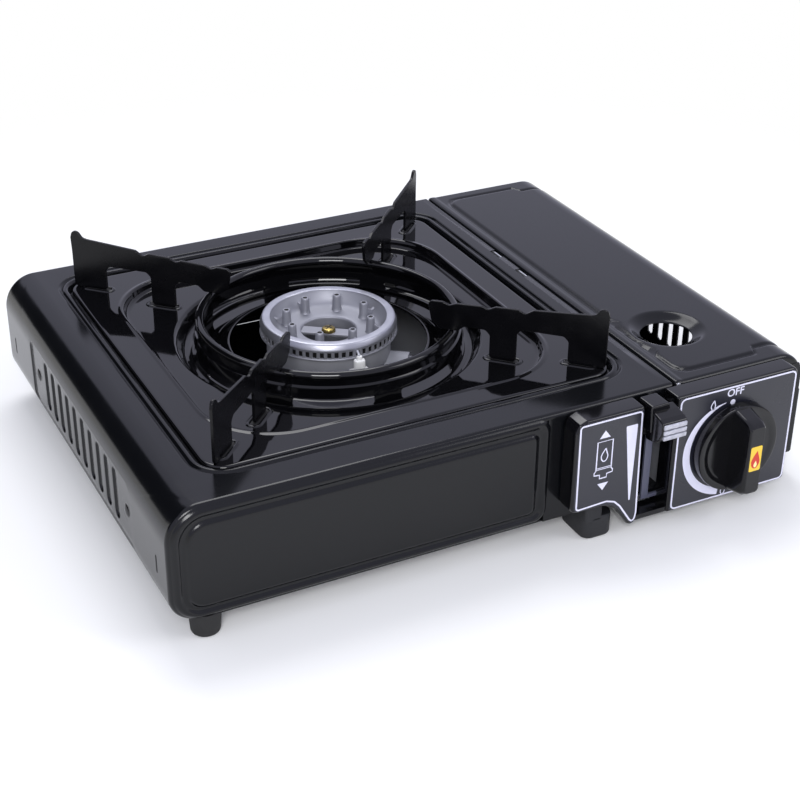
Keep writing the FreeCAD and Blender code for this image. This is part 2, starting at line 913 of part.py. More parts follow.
def lid():
    """Bent sheet lid with a rolled hinge edge, a finger hole and a pressed border line."""
    skirt_bottom = top_height - lid_skirt_side
    lid_front = front + lid_front_gap
    outer_block = box("lid_outer_block", (hinge_x, half), (lid_front, back), (skirt_bottom, top_height))
    inner_block = box(
        "lid_inner_block",
        (hinge_x - 5, half - sheet),
        (lid_front + sheet, inner_back),
        (skirt_bottom - 1, top_height - sheet),
    )
    outer = round_edges(
        "lid_outer", outer_block, corner_radii("y", (hinge_x + 20, 60), {(1, 1): lid_shoulder})
    )
    inner = round_edges(
        "lid_inner", inner_block, corner_radii("y", (hinge_x + 20, 60), {(1, 1): lid_shoulder - sheet})
    )
    trims = [inner]
    end_bottom = top_height - lid_skirt_end
    for label, y in (("front", (front - 1, lid_front + sheet)), ("back", (inner_back, back + 1))):
        trims.append(
            box(f"lid_low_{label}", (hinge_x - 1, half - sheet), y, (skirt_bottom - 1, end_bottom))
        )
        trims.append(
            box(
                f"lid_corner_{label}",
                (hinge_x - 1, hinge_x + hinge_web + 1.5),
                y,
                (skirt_bottom - 1, top_height + 1),
            )
        )
    shell = cut("lid_shell", outer, trims)
    knuckle = rod(
        "lid_knuckle",
        (hinge_x, inner_front + lid_end_gap, hinge_z),
        "y",
        hinge_radius,
        inner_back - inner_front - lid_end_gap * 2,
    )
    bore = rod(
        "lid_bore",
        (hinge_x, inner_front - 1, hinge_z),
        "y",
        hinge_pin_radius + running_gap,
        inner_back - inner_front + 2,
    )
    line = slab_ring(
        "lid_line",
        (hinge_x + line_inset, half - line_right),
        (front + line_end, back - line_end),
        (top_height - line_depth, top_height + 1),
        "z",
        line_inset,
        line_width,
    )
    dish_hole = rod("lid_dish_hole", (finger_x, finger_y, top_height - 5), "z", finger_dish - sheet, 10)
    dish_outer = taper(
        "lid_dish_outer",
        (finger_x, finger_y, top_height - finger_depth),
        "z",
        finger_hole + sheet,
        finger_dish + sheet / 2,
        finger_depth,
    )
    slope = (finger_dish - sheet / 2 - finger_hole) / finger_depth
    dish_inner = taper(
        "lid_dish_inner",
        (finger_x, finger_y, top_height - finger_depth - 0.5),
        "z",
        finger_hole - slope * 0.5,
        finger_dish - sheet / 2 + slope * 0.5,
        finger_depth + 1,
    )
    funnel = cut("lid_dish", dish_outer, [dish_inner])
    holed = cut("lid_holed", shell, [dish_hole, line])
    joined = fuse("lid_joined", [holed, knuckle, funnel])
    return keep(cut("lid", joined, [bore]))


def hinge_pins():
    """Two plain pins, one riveted into each end plate."""
    pins = [
        rod("hinge_pin_at_front", (hinge_x, front, hinge_z), "y", hinge_pin_radius, pin_length),
        rod("hinge_pin_at_back", (hinge_x, back - pin_length, hinge_z), "y", hinge_pin_radius, pin_length),
    ]
    return keep(fuse("lid_hinge_pins", pins))


# Drip tray with its dish, pan ring and the four pan supports

def drip_tray():
    rim_block = square_slab("tray_rim_block", centre, tray_reach, tray_corner, (ledge_top, tray_top))
    rim_hollow = square_slab(
        "tray_rim_hollow", centre, tray_reach - sheet, tray_corner - sheet, (ledge_top - 1, tray_top - sheet)
    )
    basin_hole = square_slab(
        "tray_basin_hole", centre, basin_reach - 0.2, basin_corner - 0.2, (tray_top - 2, tray_top + 1)
    )
    rim = cut("tray_rim", rim_block, [rim_hollow, basin_hole])
    basin_block = square_slab(
        "tray_basin_block", centre, basin_reach, basin_corner, (basin_floor - sheet, tray_top)
    )
    basin_hollow = square_slab(
        "tray_basin_hollow", centre, basin_reach - sheet, basin_corner - sheet, (basin_floor, tray_top + 1)
    )
    dish_hole = rod("tray_dish_hole", (*centre, dish_floor - 5), "z", dish_radius - 0.2, 30)
    basin = cut("tray_basin", basin_block, [basin_hollow, dish_hole])
    dish = new_body("tray_dish")
    low = dish_floor
    profile = [
        (dish_radius, basin_floor),
        (dish_floor_outer, low),
        (dish_floor_inner, low),
        (collar_radius + sheet, low + collar_rise),
        (collar_radius, low + collar_rise),
        (collar_radius, low + collar_rise - sheet),
        (dish_floor_inner - sheet / 2, low - sheet),
        (dish_floor_outer + sheet / 2, low - sheet),
        (dish_radius + sheet / 2, basin_floor - sheet),
    ]
    turned(dish, outline(dish, "XZ_Plane", "tray_dish_profile", profile))
    place(dish, *centre)
    return keep(fuse("drip_tray", [rim, basin, dish]))


def pan_ring():
    """Rolled top rim on a tall band that stands on eight feet between its windows."""
    ring = new_body("pan_ring")
    outer = ring_radius
    band_outer = outer - ring_roll / 2 + ring_wall / 2
    band_inner = band_outer - ring_wall
    top = ring_top
    bevel = ring_roll * 0.3
    profile = [
        (outer - ring_roll + bevel, top),
        (outer - bevel, top),
        (outer, top - bevel),
        (outer, top - ring_roll + bevel),
        (outer - bevel, top - ring_roll),
        (band_outer, top - ring_roll),
        (band_outer, dish_floor + ring_wall),
        (band_outer + ring_foot, dish_floor + ring_wall),
        (band_outer + ring_foot, dish_floor),
        (band_inner, dish_floor),
        (band_inner, top - ring_roll),
        (outer - ring_roll + bevel, top - ring_roll),
        (outer - ring_roll, top - ring_roll + bevel),
        (outer - ring_roll, top - bevel),
    ]
    turned(ring, outline(ring, "XZ_Plane", "pan_ring_profile", profile))
    window = outline(
        ring,
        "YZ_Plane",
        "pan_ring_window",
        [
            (-window_width / 2, dish_floor + ring_wall + 0.4),
            (window_width / 2, dish_floor + ring_wall + 0.4),
            (window_width / 2, dish_floor + ring_wall + window_height),
            (-window_width / 2, dish_floor + ring_wall + window_height),
        ],
    )
    doc.recompute()
    before = ring.Shape.Volume
    opening = pocket(ring, window, outer + 5, backwards=True)
    around(ring, opening, ring_windows)
    doc.recompute()
    assert ring.Shape.Volume < before - 100
    # The windows stand half a pitch off the pan supports.
    place(ring, *centre, rotation=Rotation(Vector(0, 0, 1), 22.5))
    return keep(ring)


def support_outline():
    """Side view of a pan support, as distance from the burner's axis and height."""
    reach = support_reach
    high = support_height
    leg = inner_leg_radius
    seat = ring_top
    return [
        (reach, tray_top),
        (reach, high - 12),
        (reach + 0.3, high - 4),
        (reach - 0.6, high - 1),
        (reach - 2.6, high),
        (reach - 4.6, high - 0.8),
        (reach - 6.6, high - 3.6),
        (reach - 9, high - 4.2),
        (leg + 22.2, high - 6.3),
        (leg + 17.9, high - 9.1),
        (leg + 14.4, high - 7.2),
        (leg + 2.6, high - 7.6),
        (leg - 1.4, high - 9.7),
        (leg - 4.5, high - 8.3),
        (leg - 17.6, high - 8.9),
        (leg - 21.9, high - 10.5),
        (leg - 25, high - 9),
        (leg - support_tip + 1.8, high - 9.2),
        (leg - support_tip, high - 10.8),
        (leg - support_tip + 1.8, seat + 4),
        (leg - 26.5, seat),
        (ring_radius + 2.5, seat),
        (ring_radius + 6, seat + 3),
        (leg - 2.5, seat + 3),
        (leg, seat + 0.5),
        (leg, basin_floor),
        (leg + inner_leg, basin_floor),
        (leg + inner_leg, seat + 3.5),
        (leg + inner_leg + 2.5, seat + 6),
        (reach - outer_leg - 2.5, seat + 6),
        (reach - outer_leg, seat + 3.5),
        (reach - outer_leg, tray_top),
    ]


def pan_support(name, bearing):
    """One pan support of sheet on edge, along a diagonal of the tray."""
    support = new_body(name)
    side = outline(support, "XZ_Plane", f"{name}_side", support_outline())
    pad(support, side, support_sheet, middle=True)
    place(support, *centre, rotation=Rotation(Vector(0, 0, 1), bearing))
    return keep(support)


# Burner

def burner_body():
    """Cast cup under the burner head, with the neck that takes the mixing tube."""
    cup = new_body("burner_cup")
    shoulder = head_floor
    profile = [
        (0, cup_bottom),
        (cup_radius - 14, cup_bottom),
        (cup_radius - 4, cup_bottom + 8),
        (cup_radius, shoulder - 12),
        (cup_radius, shoulder - 1.6),
        (cup_radius + 1.6, shoulder - 1.6),
        (cup_radius + 1.6, shoulder),
        (cup_radius - 3, shoulder),
        (cup_radius - 3, shoulder - 12),
        (cup_radius - 7, cup_bottom + 10),
        (cup_radius - 16, cup_bottom + 3),
        (0, cup_bottom + 3),
    ]
    turned(cup, outline(cup, "XZ_Plane", "burner_cup_profile", profile))
    place(cup, *centre)
    neck = rod("burner_neck", (0, 0, 0), "x", tube_radius + 2, cup_radius + neck_reach)
    place(neck, *centre, tube_height, rotation=tube_turn())
    inside = rod("burner_cup_inside", (*centre, cup_bottom + 3), "z", cup_radius - 8, 40)
    bore = rod("burner_neck_bore", (0, 0, 0), "x", tube_radius + 0.02, cup_radius + neck_reach + 2)
    place(bore, *centre, tube_height, rotation=tube_turn())
    stub = cut("burner_neck_stub", neck, [inside])
    return keep(cut("burner_body", fuse("burner_cast", [cup, stub]), [bore]))


def tube_turn():
    """Turn from +Z to the level bearing of the mixing tube."""
    return Rotation(Vector(0, 0, 1), tube_bearing) * Rotation(Vector(0, 1, 0), 90)


def burner_head():
    """Die-cast cap: flat rim, ring of flame ports below it, dished top with hollow posts."""
    head = new_body("burner_head")
    rim_inner = head_radius - head_rim
    profile = [
        (head_opening, head_floor + 1.8),
        (rim_inner - 2, head_floor + 3),
        (rim_inner, head_top - 0.6),
        (rim_inner + 0.6, head_top),
        (head_radius - 0.8, head_top),
        (head_radius, head_top - 0.8),
        (head_radius, head_top - 2.6),
        (head_radius - 1.6, head_top - 3.2),
        (head_radius - 1.6, head_floor),
        (head_opening, head_floor),
    ]
    turned(head, outline(head, "XZ_Plane", "burner_head_profile", profile))
    places = []
    for index in range(post_count):
        angle = math.radians(post_start + index * 360 / post_count)
        places.append((post_circle * math.cos(angle), post_circle * math.sin(angle)))
    posts = circles(head, "XY_Plane", "burner_posts", places, post_radius)
    bind(posts, "AttachmentOffset.Base.z", head_floor + 0.5)
    pad(head, posts, head_top - 0.8 - head_floor - 0.5)
    bores = circles(head, "XY_Plane", "burner_post_bores", places, post_bore)
    bind(bores, "AttachmentOffset.Base.z", head_top + 1)
    pocket(head, bores, 6.5)
    port = outline(
        head,
        "YZ_Plane",
        "burner_port",
        [
            (-port_width / 2, head_floor + 0.8),
            (port_width / 2, head_floor + 0.8),
            (port_width / 2, head_top - 3.4),
            (-port_width / 2, head_top - 3.4),
        ],
    )
    bind(port, "AttachmentOffset.Base.z", head_radius - 3.6)
    doc.recompute()
    before = head.Shape.Volume
    slot = pocket(head, port, 6, backwards=True)
    around(head, slot, port_count)
    doc.recompute()
    assert head.Shape.Volume < before - 50
    bridge = outline(
        head,
        "XY_Plane",
        "burner_bridge",
        [
            (-head_opening - 0.6, -bridge_width / 2),
            (head_opening + 0.6, -bridge_width / 2),
            (head_opening + 0.6, bridge_width / 2),
            (-head_opening - 0.6, bridge_width / 2),
        ],
    )
    bind(bridge, "AttachmentOffset.Base.z", head_floor)
    pad(head, bridge, 1.6)
    place(head, *centre)
    return keep(head)


def burner_screw():
    """Brass screw that holds the head down through its bridge."""
    top = rod("burner_screw_top", (*centre, head_floor + 1.6), "z", 3.6, 1.8)
    slot = box(
        "burner_screw_slot",
        (burner_x - 4, burner_x + 4),
        (burner_y - 0.5, burner_y + 0.5),
        (head_floor + 2.6, head_floor + 4),
    )
    return keep(cut("burner_screw", top, [slot]))


def mixing_tube():
    """Venturi pipe from the gas nozzle to the burner cup."""
    start = cup_radius - 6
    outer = rod("mixing_tube_outer", (0, 0, 0), "x", tube_radius, tube_reach - start)
    inner = rod("mixing_tube_inner", (0, 0, 0), "x", tube_radius - tube_wall, tube_reach - start + 2)
    angle = math.radians(tube_bearing)
    for piece, shift in ((outer, 0), (inner, -1)):
        away = start + shift
        place(
            piece,
            burner_x + away * math.cos(angle),
            burner_y + away * math.sin(angle),
            tube_height,
            rotation=tube_turn(),
        )
    return keep(cut("mixing_tube", outer, [inner]))


def burner_bracket():
    """Bent strap from the floor that carries the burner cup."""
    width = bracket_width / 2
    x = (burner_x - bracket_reach, burner_x + bracket_reach)
    y = (burner_y - width, burner_y + width)
    floor = wall_bottom + sheet
    top = box("bracket_top", x, y, (cup_bottom - bracket_sheet, cup_bottom))
    legs = []
    for index, side in enumerate((-1, 1)):
        inner = burner_x + side * (bracket_reach - bracket_sheet)
        outer = burner_x + side * bracket_reach
        span = (inner, outer) if side > 0 else (outer, inner)
        legs.append(box(f"bracket_leg_{index}", span, y, (floor, cup_bottom - bracket_sheet)))
        toe = (outer, outer + bracket_toe) if side > 0 else (outer - bracket_toe, outer)
        legs.append(box(f"bracket_toe_{index}", toe, y, (floor, floor + bracket_sheet)))
    return keep(fuse("burner_bracket", [top] + legs))


# Electrode with its wire, bracket and lead


def bent_rod(name, points, bend, radius):
    """Round stock along a line of points, with an arc at every corner."""
    corners = [Vector(float(x), float(y), float(z)) for x, y, z in points]
    edges = []
    start = corners[0]
    for before, corner, after in zip(corners, corners[1:], corners[2:]):
        towards_start = (before - corner).normalize()
        towards_end = (after - corner).normalize()
        half_angle = towards_start.getAngle(towards_end) / 2
        trim = bend / math.tan(half_angle)
        first = corner + towards_start * trim
        last = corner + towards_end * trim
        inwards = (towards_start + towards_end).normalize()
        middle = corner + inwards * (bend / math.sin(half_angle) - bend)
        edges.append(Part.makeLine(start, first))
        edges.append(Part.Arc(first, middle, last).toShape())
        start = last
    edges.append(Part.makeLine(start, corners[-1]))
    section = Part.Wire(Part.makeCircle(float(radius), corners[0], corners[1] - corners[0]))
    stock = doc.addObject("Part::Feature", name)
    stock.Shape = Part.Wire(edges).makePipeShell([section], True, False)
    stock.Placement = Placement()
    return stock


def ignition():
    spot = (electrode_x, electrode_y)
    post = rod(
        "electrode_post", (*spot, electrode_low), "z", insulator_radius, electrode_high - electrode_low
    )
    collar = rod("electrode_collar", (*spot, electrode_high - 8), "z", insulator_radius + 0.8, 3)
    keep(fuse("electrode_insulator", [post, collar]))
    tip = [
        (*spot, electrode_high),
        (*spot, head_top - 4.5),
        (electrode_x, burner_y - head_radius - 1.2, head_top - 3),
    ]
    keep(bent_rod("electrode_wire", tip, 1.5, 0.7))
    plate = box(
        "electrode_plate",
        (electrode_x - 6, electrode_x + 6),
        (electrode_y - 5, burner_y - cup_radius + 3),
        (electrode_high - 9.2, electrode_high - 8),
    )
    seat = rod("electrode_seat", (*spot, electrode_high - 11), "z", insulator_radius, 5)
    against_cup = rod("electrode_cup_side", (*centre, electrode_high - 11), "z", cup_radius, 5)
    keep(cut("electrode_bracket", plate, [seat, against_cup]))
    keep(
        rod(
            "piezo_igniter",
            (igniter_x, inner_front, lead_z + 1),
            "y",
            igniter_radius,
            igniter_back - inner_front,
        )
    )
    route = [
        (igniter_x, igniter_back, lead_z),
        (igniter_x, lead_y, lead_z),
        (burner_x + 54, lead_y, lead_z),
        (electrode_x, lead_y, electrode_low - 6),
        (electrode_x, electrode_y, electrode_low - 6),
        (electrode_x, electrode_y, electrode_low),
    ]
    keep(bent_rod("ignition_lead", route, 4.5, lead_radius))


# Mixing tube, nozzle, pipe, regulator and valve


def along_tube(name, start, radius, length):
    """A rod on the mixing tube's line, from a distance off the burner's axis."""
    angle = math.radians(tube_bearing)
    piece = rod(name, (0, 0, 0), "z", radius, length)
    return place(
        piece,
        burner_x + start * math.cos(angle),
        burner_y + start * math.sin(angle),
        tube_height,
        rotation=tube_turn(),
    )


def gas_line():
    """Nozzle with its hexagon, the plate that holds it and the pipe to the regulator."""
    tip = along_tube("nozzle_tip", tube_reach - 5, nozzle_radius - 1, 9)
    shank = along_tube("nozzle_shank", tube_reach + 1.2, nozzle_radius + 1.5, 9)
    jet = along_tube("nozzle_jet", tube_reach - 6, 0.6, 10)
    socket = along_tube("nozzle_socket", tube_reach + 3, pipe_radius, 10)
    keep(cut("injector_nozzle", fuse("nozzle_body", [tip, shank]), [jet, socket]))
    foot = wall_bottom + sheet
    plate = box(
        "tube_plate", (0, tube_plate_sheet), (0, tube_plate_width), (foot, tube_height + tube_plate_rise)
    )
    angle = math.radians(tube_bearing)
    plate_half = tube_plate_width / 2
    place(
        plate,
        burner_x + tube_reach * math.cos(angle) + plate_half * math.sin(angle),
        burner_y + tube_reach * math.sin(angle) - plate_half * math.cos(angle),
        foot,
        rotation=Rotation(Vector(0, 0, 1), tube_bearing),
    )
    hole = along_tube("tube_plate_hole", tube_reach - 2, nozzle_radius - 1, 5)
    air = []
    for index, side in enumerate((-1, 1)):
        vent = along_tube(f"tube_plate_air_{index}", tube_reach - 2, 2.2, 5)
        bind(vent, "Placement.Base.z", tube_height + side * 6.6)
        air.append(vent)
    keep(cut("mixing_tube_plate", plate, [hole] + air))
    reach = (regulator_left - burner_x) / math.cos(angle)
    pipe = along_tube("gas_pipe_run", tube_reach + 3, pipe_radius, reach - tube_reach + 3)
    nut = along_tube("gas_pipe_nut", reach - 12, pipe_radius + 2, 5)
    keep(fuse("gas_pipe", [pipe, nut]))


def regulator():
    block = slab(
        "regulator_block",
        (regulator_left, regulator_right),
        (regulator_front, regulator_back),
        (regulator_bottom, regulator_top),
        "z",
        regulator_corner,
    )
    boss = rod(
        "regulator_boss", (cartridge_x, regulator_back - 1, cartridge_z), "y", inlet_radius, inlet_reach + 1
    )
    bore = rod(
        "regulator_bore",
        (cartridge_x, inlet_face - inlet_depth, cartridge_z),
        "y",
        inlet_bore,
        inlet_depth + 1,
    )
    seal_back = inlet_face - seal_depth - 0.6
    seal_seat = rod("regulator_seal_seat", (cartridge_x, seal_back, cartridge_z), "y", seal_radius, 4)
    room = rod(
        "regulator_chamber", (*chamber, regulator_top - chamber_depth), "z", chamber_radius, chamber_depth + 1
    )
    reach = (regulator_left - burner_x) / math.cos(math.radians(tube_bearing))
    pipe_seat = along_tube("regulator_pipe_seat", reach - 6, pipe_radius, 12.01)
    keep(cut("regulator_body", fuse("regulator_cast", [block, boss]), [bore, seal_seat, room, pipe_seat]))
    keep(
        cut(
            "inlet_seal",
            rod("seal_outer", (cartridge_x, seal_back, cartridge_z), "y", seal_radius, seal_depth),
            [rod("seal_inner", (cartridge_x, seal_back - 1, cartridge_z), "y", inlet_bore, 5)],
        )
    )
    cap = new_body("regulator_cap")
    low = regulator_top
    profile = [
        (chamber_radius + 4, low),
        (chamber_radius + 4, low + 1.6),
        (chamber_radius - 1, low + 2.4),
        (chamber_radius - 3, low + cap_height),
        (0, low + cap_height),
        (0, low + cap_height - 1.2),
        (chamber_radius - 4.2, low + cap_height - 1.2),
        (chamber_radius - 2.2, low),
    ]
    turned(cap, outline(cap, "XZ_Plane", "regulator_cap_profile", profile))
    place(cap, *chamber)
    cap.Label = "regulator_cover"
    keep(cap)
    keep(rod("regulator_diaphragm", (*chamber, regulator_top - 1), "z", chamber_radius, 1))
    coil = Part.makeHelix(2.2, float(cap_height - 2), 6)
    section = Part.Wire(Part.makeCircle(0.5, Vector(6, 0, 0), Vector(0, 1, 0)))
    spring = doc.addObject("Part::Feature", "regulator_spring")
    spring.Shape = Part.Wire(coil).makePipeShell([section], True, True)
    spring.Placement = Placement(Vector(*map(float, (*chamber, regulator_top + 0.4))), Rotation())
    keep(spring)
    guide = slab(
        "collar_guide_sheet",
        (regulator_left + 1, regulator_right + 1),
        (regulator_back, regulator_back + 1.2),
        (trough_bottom + sheet, regulator_top + 8),
        "y",
        5,
    )
    guide_hole = rod(
        "collar_guide_hole", (cartridge_x, regulator_back - 1, cartridge_z), "y", inlet_radius, 4
    )
    key = box(
        "collar_guide_key",
        (cartridge_x - 3.5, cartridge_x + 3.5),
        (regulator_back, regulator_back + 9),
        (regulator_top + 2, regulator_top + 3.2),
    )
    keep(fuse("collar_guide", [cut("collar_guide_plate", guide, [guide_hole]), key]))


def valve():
    flange = rod("valve_flange", (knob_x, inner_front, knob_z), "y", valve_radius + 4, 2)
    barrel = rod(
        "valve_barrel", (knob_x, valve_front, knob_z), "y", valve_radius, regulator_front - valve_front
    )
    bore = rod(
        "valve_bore",
        (knob_x, valve_front - 1, knob_z),
        "y",
        spindle_radius + running_gap,
        spindle_back - valve_front + 1.5,
    )
    keep(cut("valve_body", fuse("valve_cast", [flange, barrel]), [bore]))


# Knob with its spindle and sticker

def knob():
    disc = new_body("knob_disc_turned")
    depth = knob_disc
    profile = [
        (0, 0),
        (knob_radius - 0.8, 0),
        (knob_radius, 0.8),
        (knob_radius, depth - 1.6),
        (knob_radius - 1.6, depth),
        (0, depth),
    ]
    turned(disc, outline(disc, "XZ_Plane", "knob_disc_profile", profile))
    place(disc, knob_x, disc_back, knob_z, rotation=Rotation(Vector(1, 0, 0), 90))
    grip = new_body("knob_grip")
    base = disc_face + 0.5
    profile = [
        (base, -knob_radius + 0.7),
        (base, knob_radius - 0.7),
        (grip_face + 1, knob_radius - 5.2),
        (grip_face, knob_radius - 6.7),
        (grip_face, -knob_radius + 6.7),
        (grip_face + 1, -knob_radius + 5.2),
    ]
    pad(grip, outline(grip, "YZ_Plane", "knob_grip_side", profile), grip_width, middle=True)
    place(grip, knob_x, 0, knob_z)
    hub = rod("knob_hub", (knob_x, disc_back - 1, knob_z), "y", spindle_radius + 3, hub_reach + 1)
    shaft = rod(
        "knob_shaft_hole", (knob_x, disc_face, knob_z), "y", spindle_radius, knob_disc + hub_reach + 2
    )
    keep(cut("knob", fuse("knob_moulding", [disc, grip, hub]), [shaft]))
    keep(
        slab(
            "knob_sticker",
            (knob_x - grip_width / 2 + 1, knob_x + grip_width / 2 - 1),
            (grip_face - sticker, grip_face),
            (knob_z + sticker_low, knob_z + sticker_high),
            "y",
            1.5,
        )
    )
    keep(
        rod("valve_spindle", (knob_x, disc_face, knob_z), "y", spindle_radius, spindle_back - disc_face)
    )


# Control housing and its two face plates

def label_outline():
    """Front view of the label plate, with its pointed tail at the lower right."""
    left = label_left
    right = slot_left
    low = label_bottom
    high = panel_top
    return [
        (left + 6, high),
        (left + 2, high - 1.7),
        (left, high - 6),
        (left, low + 3.5),
        (left + 1, low + 1),
        (left + 3.5, low),
        (left + 17, low),
        (left + 22.5, low - 1.2),
        (left + 26.5, low - 4.5),
        (left + 30.5, low - 10),
        (right - 4.8, label_tail + 1),
        (right - 2.6, label_tail),
        (right - 0.6, label_tail + 1.4),
        (right, label_tail + 3.6),
        (right, high),
    ]


def prism(name, points, y):
    """A plate or block given by its front view and its depth range."""
    block = new_body(name)
    pad(block, outline(block, "XZ_Plane", f"{name}_front", points), y[1] - y[0])
    return place(block, y=y[1])


def control_panel():
    wall = housing_wall
    keep(prism("label_plate", label_outline(), (panel_face, panel_back)))
    panel = slab(
        "knob_panel_blank",
        (slot_right, panel_right),
        (panel_face, panel_back),
        (panel_bottom, panel_top),
        "y",
        3,
    )
    hub_hole = rod("knob_panel_hole", (knob_x, panel_face - 1, knob_z), "y", spindle_radius + 4, 4)
    keep(cut("knob_panel", panel, [hub_hole]))
    depth = (panel_back, front)
    left_box = prism("housing_left", label_outline(), depth)
    left_room = box(
        "housing_left_room",
        (label_left + wall, slot_left - wall),
        (panel_back - 1, front - wall),
        (label_bottom + wall, panel_top - wall - 4),
    )
    web = box(
        "housing_web", (slot_left - wall, housing_step), (front - wall, front), (panel_bottom, panel_top)
    )
    shelf = box(
        "housing_shelf",
        (slot_left - wall, housing_step),
        (panel_back, front),
        (panel_bottom, panel_bottom + 3),
    )
    right_box = slab(
        "housing_right", (housing_step, panel_right), depth, (panel_bottom, panel_top), "y", 1.4
    )
    right_room = box(
        "housing_right_room",
        (housing_step + wall, panel_right - wall),
        (panel_back - 1, front - wall),
        (panel_bottom + wall, panel_top - wall),
    )
    valve_hole = rod(
        "housing_valve_hole", (knob_x, front - wall - 1, knob_z), "y", valve_radius + 0.3, wall + 2
    )
    slit = box(
        "housing_slit", (slit_left, slit_right), (front - wall - 1, front + 1), (slit_bottom, slit_top)
    )
    moulded = fuse("housing_moulded", [left_box, web, shelf, right_box])
    keep(cut("control_housing", moulded, [left_room, right_room, valve_hole, slit]))
    guide = box(
        "lever_guide_sheet",
        (slit_left - 4, housing_step),
        (front - wall - 1.2, front - wall),
        (slit_bottom - 2, slit_top - 12),
    )
    guide_slit = box(
        "lever_guide_slit", (slit_left, slit_right), (front - wall - 2, front), (slit_bottom, slit_top)
    )
    keep(cut("lever_guide", guide, [guide_slit]))


# Lock lever: arm, handle and pivot, and the carriage it draws forward


def lever():
    """The arm's plate runs from the pivot through the slit to the handle's back."""
    low = lever_x - lever_thickness / 2
    arm = new_body("lever_arm_plate")
    side = [
        (pivot_y + 4, pivot_z - 4.5),
        (pivot_y + 5, pivot_z + 2),
        (pivot_y + 3, pivot_z + stud_rise + 3),
        (pivot_y - 4, pivot_z + stud_rise + 3.5),
        (handle_back + 4, handle_low + 15),
        (handle_back, handle_low + 16),
        (handle_back, handle_low + 2),
        (pivot_y - 10, pivot_z + 3),
        (pivot_y - 4, pivot_z - 4.5),
    ]
    pad(arm, outline(arm, "YZ_Plane", "lever_arm_side", side), lever_thickness)
    place(arm, x=low)
    stud = rod("lever_stud", (low + 1, pivot_y, pivot_z + stud_rise), "x", 1.5, lever_thickness + 2.4)
    bore = rod(
        "lever_bore", (low - 1, pivot_y, pivot_z), "x", pivot_radius + running_gap, lever_thickness + 2
    )
    keep(cut("lever_arm", fuse("lever_arm_with_stud", [arm, stud]), [bore]))
    grip = new_body("lever_handle")
    step = handle_back
    high = panel_top - 0.3
    side = [
        (step, handle_low),
        (step, high),
        (step - 6.5, high),
        (step - 8, high - 1.4),
        (step - 20, high - 0.6),
        (step - 20, handle_low + 11.5),
        (step - 17, handle_low + 7),
        (step - 6.5, handle_low + 6),
        (step - 4.5, handle_low),
    ]
    width = slot_right - slot_left - 2.2
    pad(grip, outline(grip, "YZ_Plane", "lever_handle_side", side), width)
    place(grip, x=slot_left + 1)
    keep(grip)
    pin_left = slit_left - 4
    partition_face = seam_x - sheet * 2
    keep(rod("lever_pivot", (pin_left, pivot_y, pivot_z), "x", pivot_radius, partition_face - pin_left))
    cheek = box(
        "lever_bracket_cheek",
        (pin_left, pin_left + 1.2),
        (inner_front, pivot_y + 8),
        (pivot_z - 12, pivot_z + 12),
    )
    tab = box(
        "lever_bracket_tab",
        (pin_left - 6, pin_left + 1.2),
        (inner_front, inner_front + 1.2),
        (pivot_z - 12, pivot_z + 12),
    )
    pin_hole = rod("lever_bracket_hole", (pin_left - 1, pivot_y, pivot_z), "x", pivot_radius, 4)
    keep(cut("lever_bracket", fuse("lever_bracket_sheet", [cheek, tab]), [pin_hole]))


def carriage():
    """Slide on the bay side of the partition, with a yoke for the lever and a fork for the collar."""
    partition_right = seam_x - sheet
    face = partition_right + slide_gap
    low = carriage_low
    high = carriage_high
    sheet_x = (face, face + carriage_sheet)
    front_edge = pivot_y - 6
    yoke_left = lever_x + lever_thickness / 2 + 0.6
    yoke_x = (yoke_left, yoke_left + 2.6)
    yoke = box("carriage_yoke", yoke_x, (front_edge, pivot_y + 6), (low, low + 10.5))
    notch = box(
        "carriage_notch",
        (yoke_x[0] - 1, yoke_x[1] + 1),
        (pivot_y - stud_room, pivot_y + stud_room),
        (low - 1, low + 7),
    )
    bar = box("carriage_bar", (yoke_x[1] - 1, face + 0.5), carriage_tongue, (low, high))
    upright = box("carriage_front", sheet_x, (front_edge, pivot_y + 8), (low - carriage_drop, high))
    slide = box("carriage_slide", sheet_x, (front_edge, fork_y), (low - carriage_drop, low))
    fork = box("carriage_fork", (face, face + 17), (fork_y - 1.5, fork_y), (low - 15, low + 9))
    keep(
        fuse(
            "cartridge_carriage",
            [cut("carriage_yoke_open", yoke, [notch]), bar, upright, slide, fork],
        )
    )
    rail_x = (partition_right, partition_right + 2.2)
    rail_back = fork_y + 4
    upper_low = low + rail_gap
    upper_high = upper_low + 1.3
    lower_high = low - carriage_drop - rail_gap
    lower_low = lower_high - 2
    upper = box("rail_upper", rail_x, (pivot_y + 10, fork_y - 10), (upper_low, upper_high))
    lower_front = front_edge - carriage_travel
    lower = box("rail_lower", rail_x, (lower_front, fork_y - 10), (lower_low, lower_high))
    keep(fuse("carriage_rail", [upper, lower]))


# Cartridge cradle, heat shield, feet and screws

def cradle():
    outer = rod(
        "cradle_outer", (cartridge_x, cradle_front, cartridge_z), "y", cradle_radius + sheet, cradle_length
    )
    inner = rod(
        "cradle_inner", (cartridge_x, cradle_front - 1, cartridge_z), "y", cradle_radius, cradle_length + 2
    )
    above = box(
        "cradle_above",
        (cartridge_x - 40, cartridge_x + 40),
        (cradle_front - 1, cradle_front + cradle_length + 1),
        (cartridge_z - 17, cartridge_z + 40),
    )
    return keep(cut("cartridge_cradle", outer, [inner, above]))


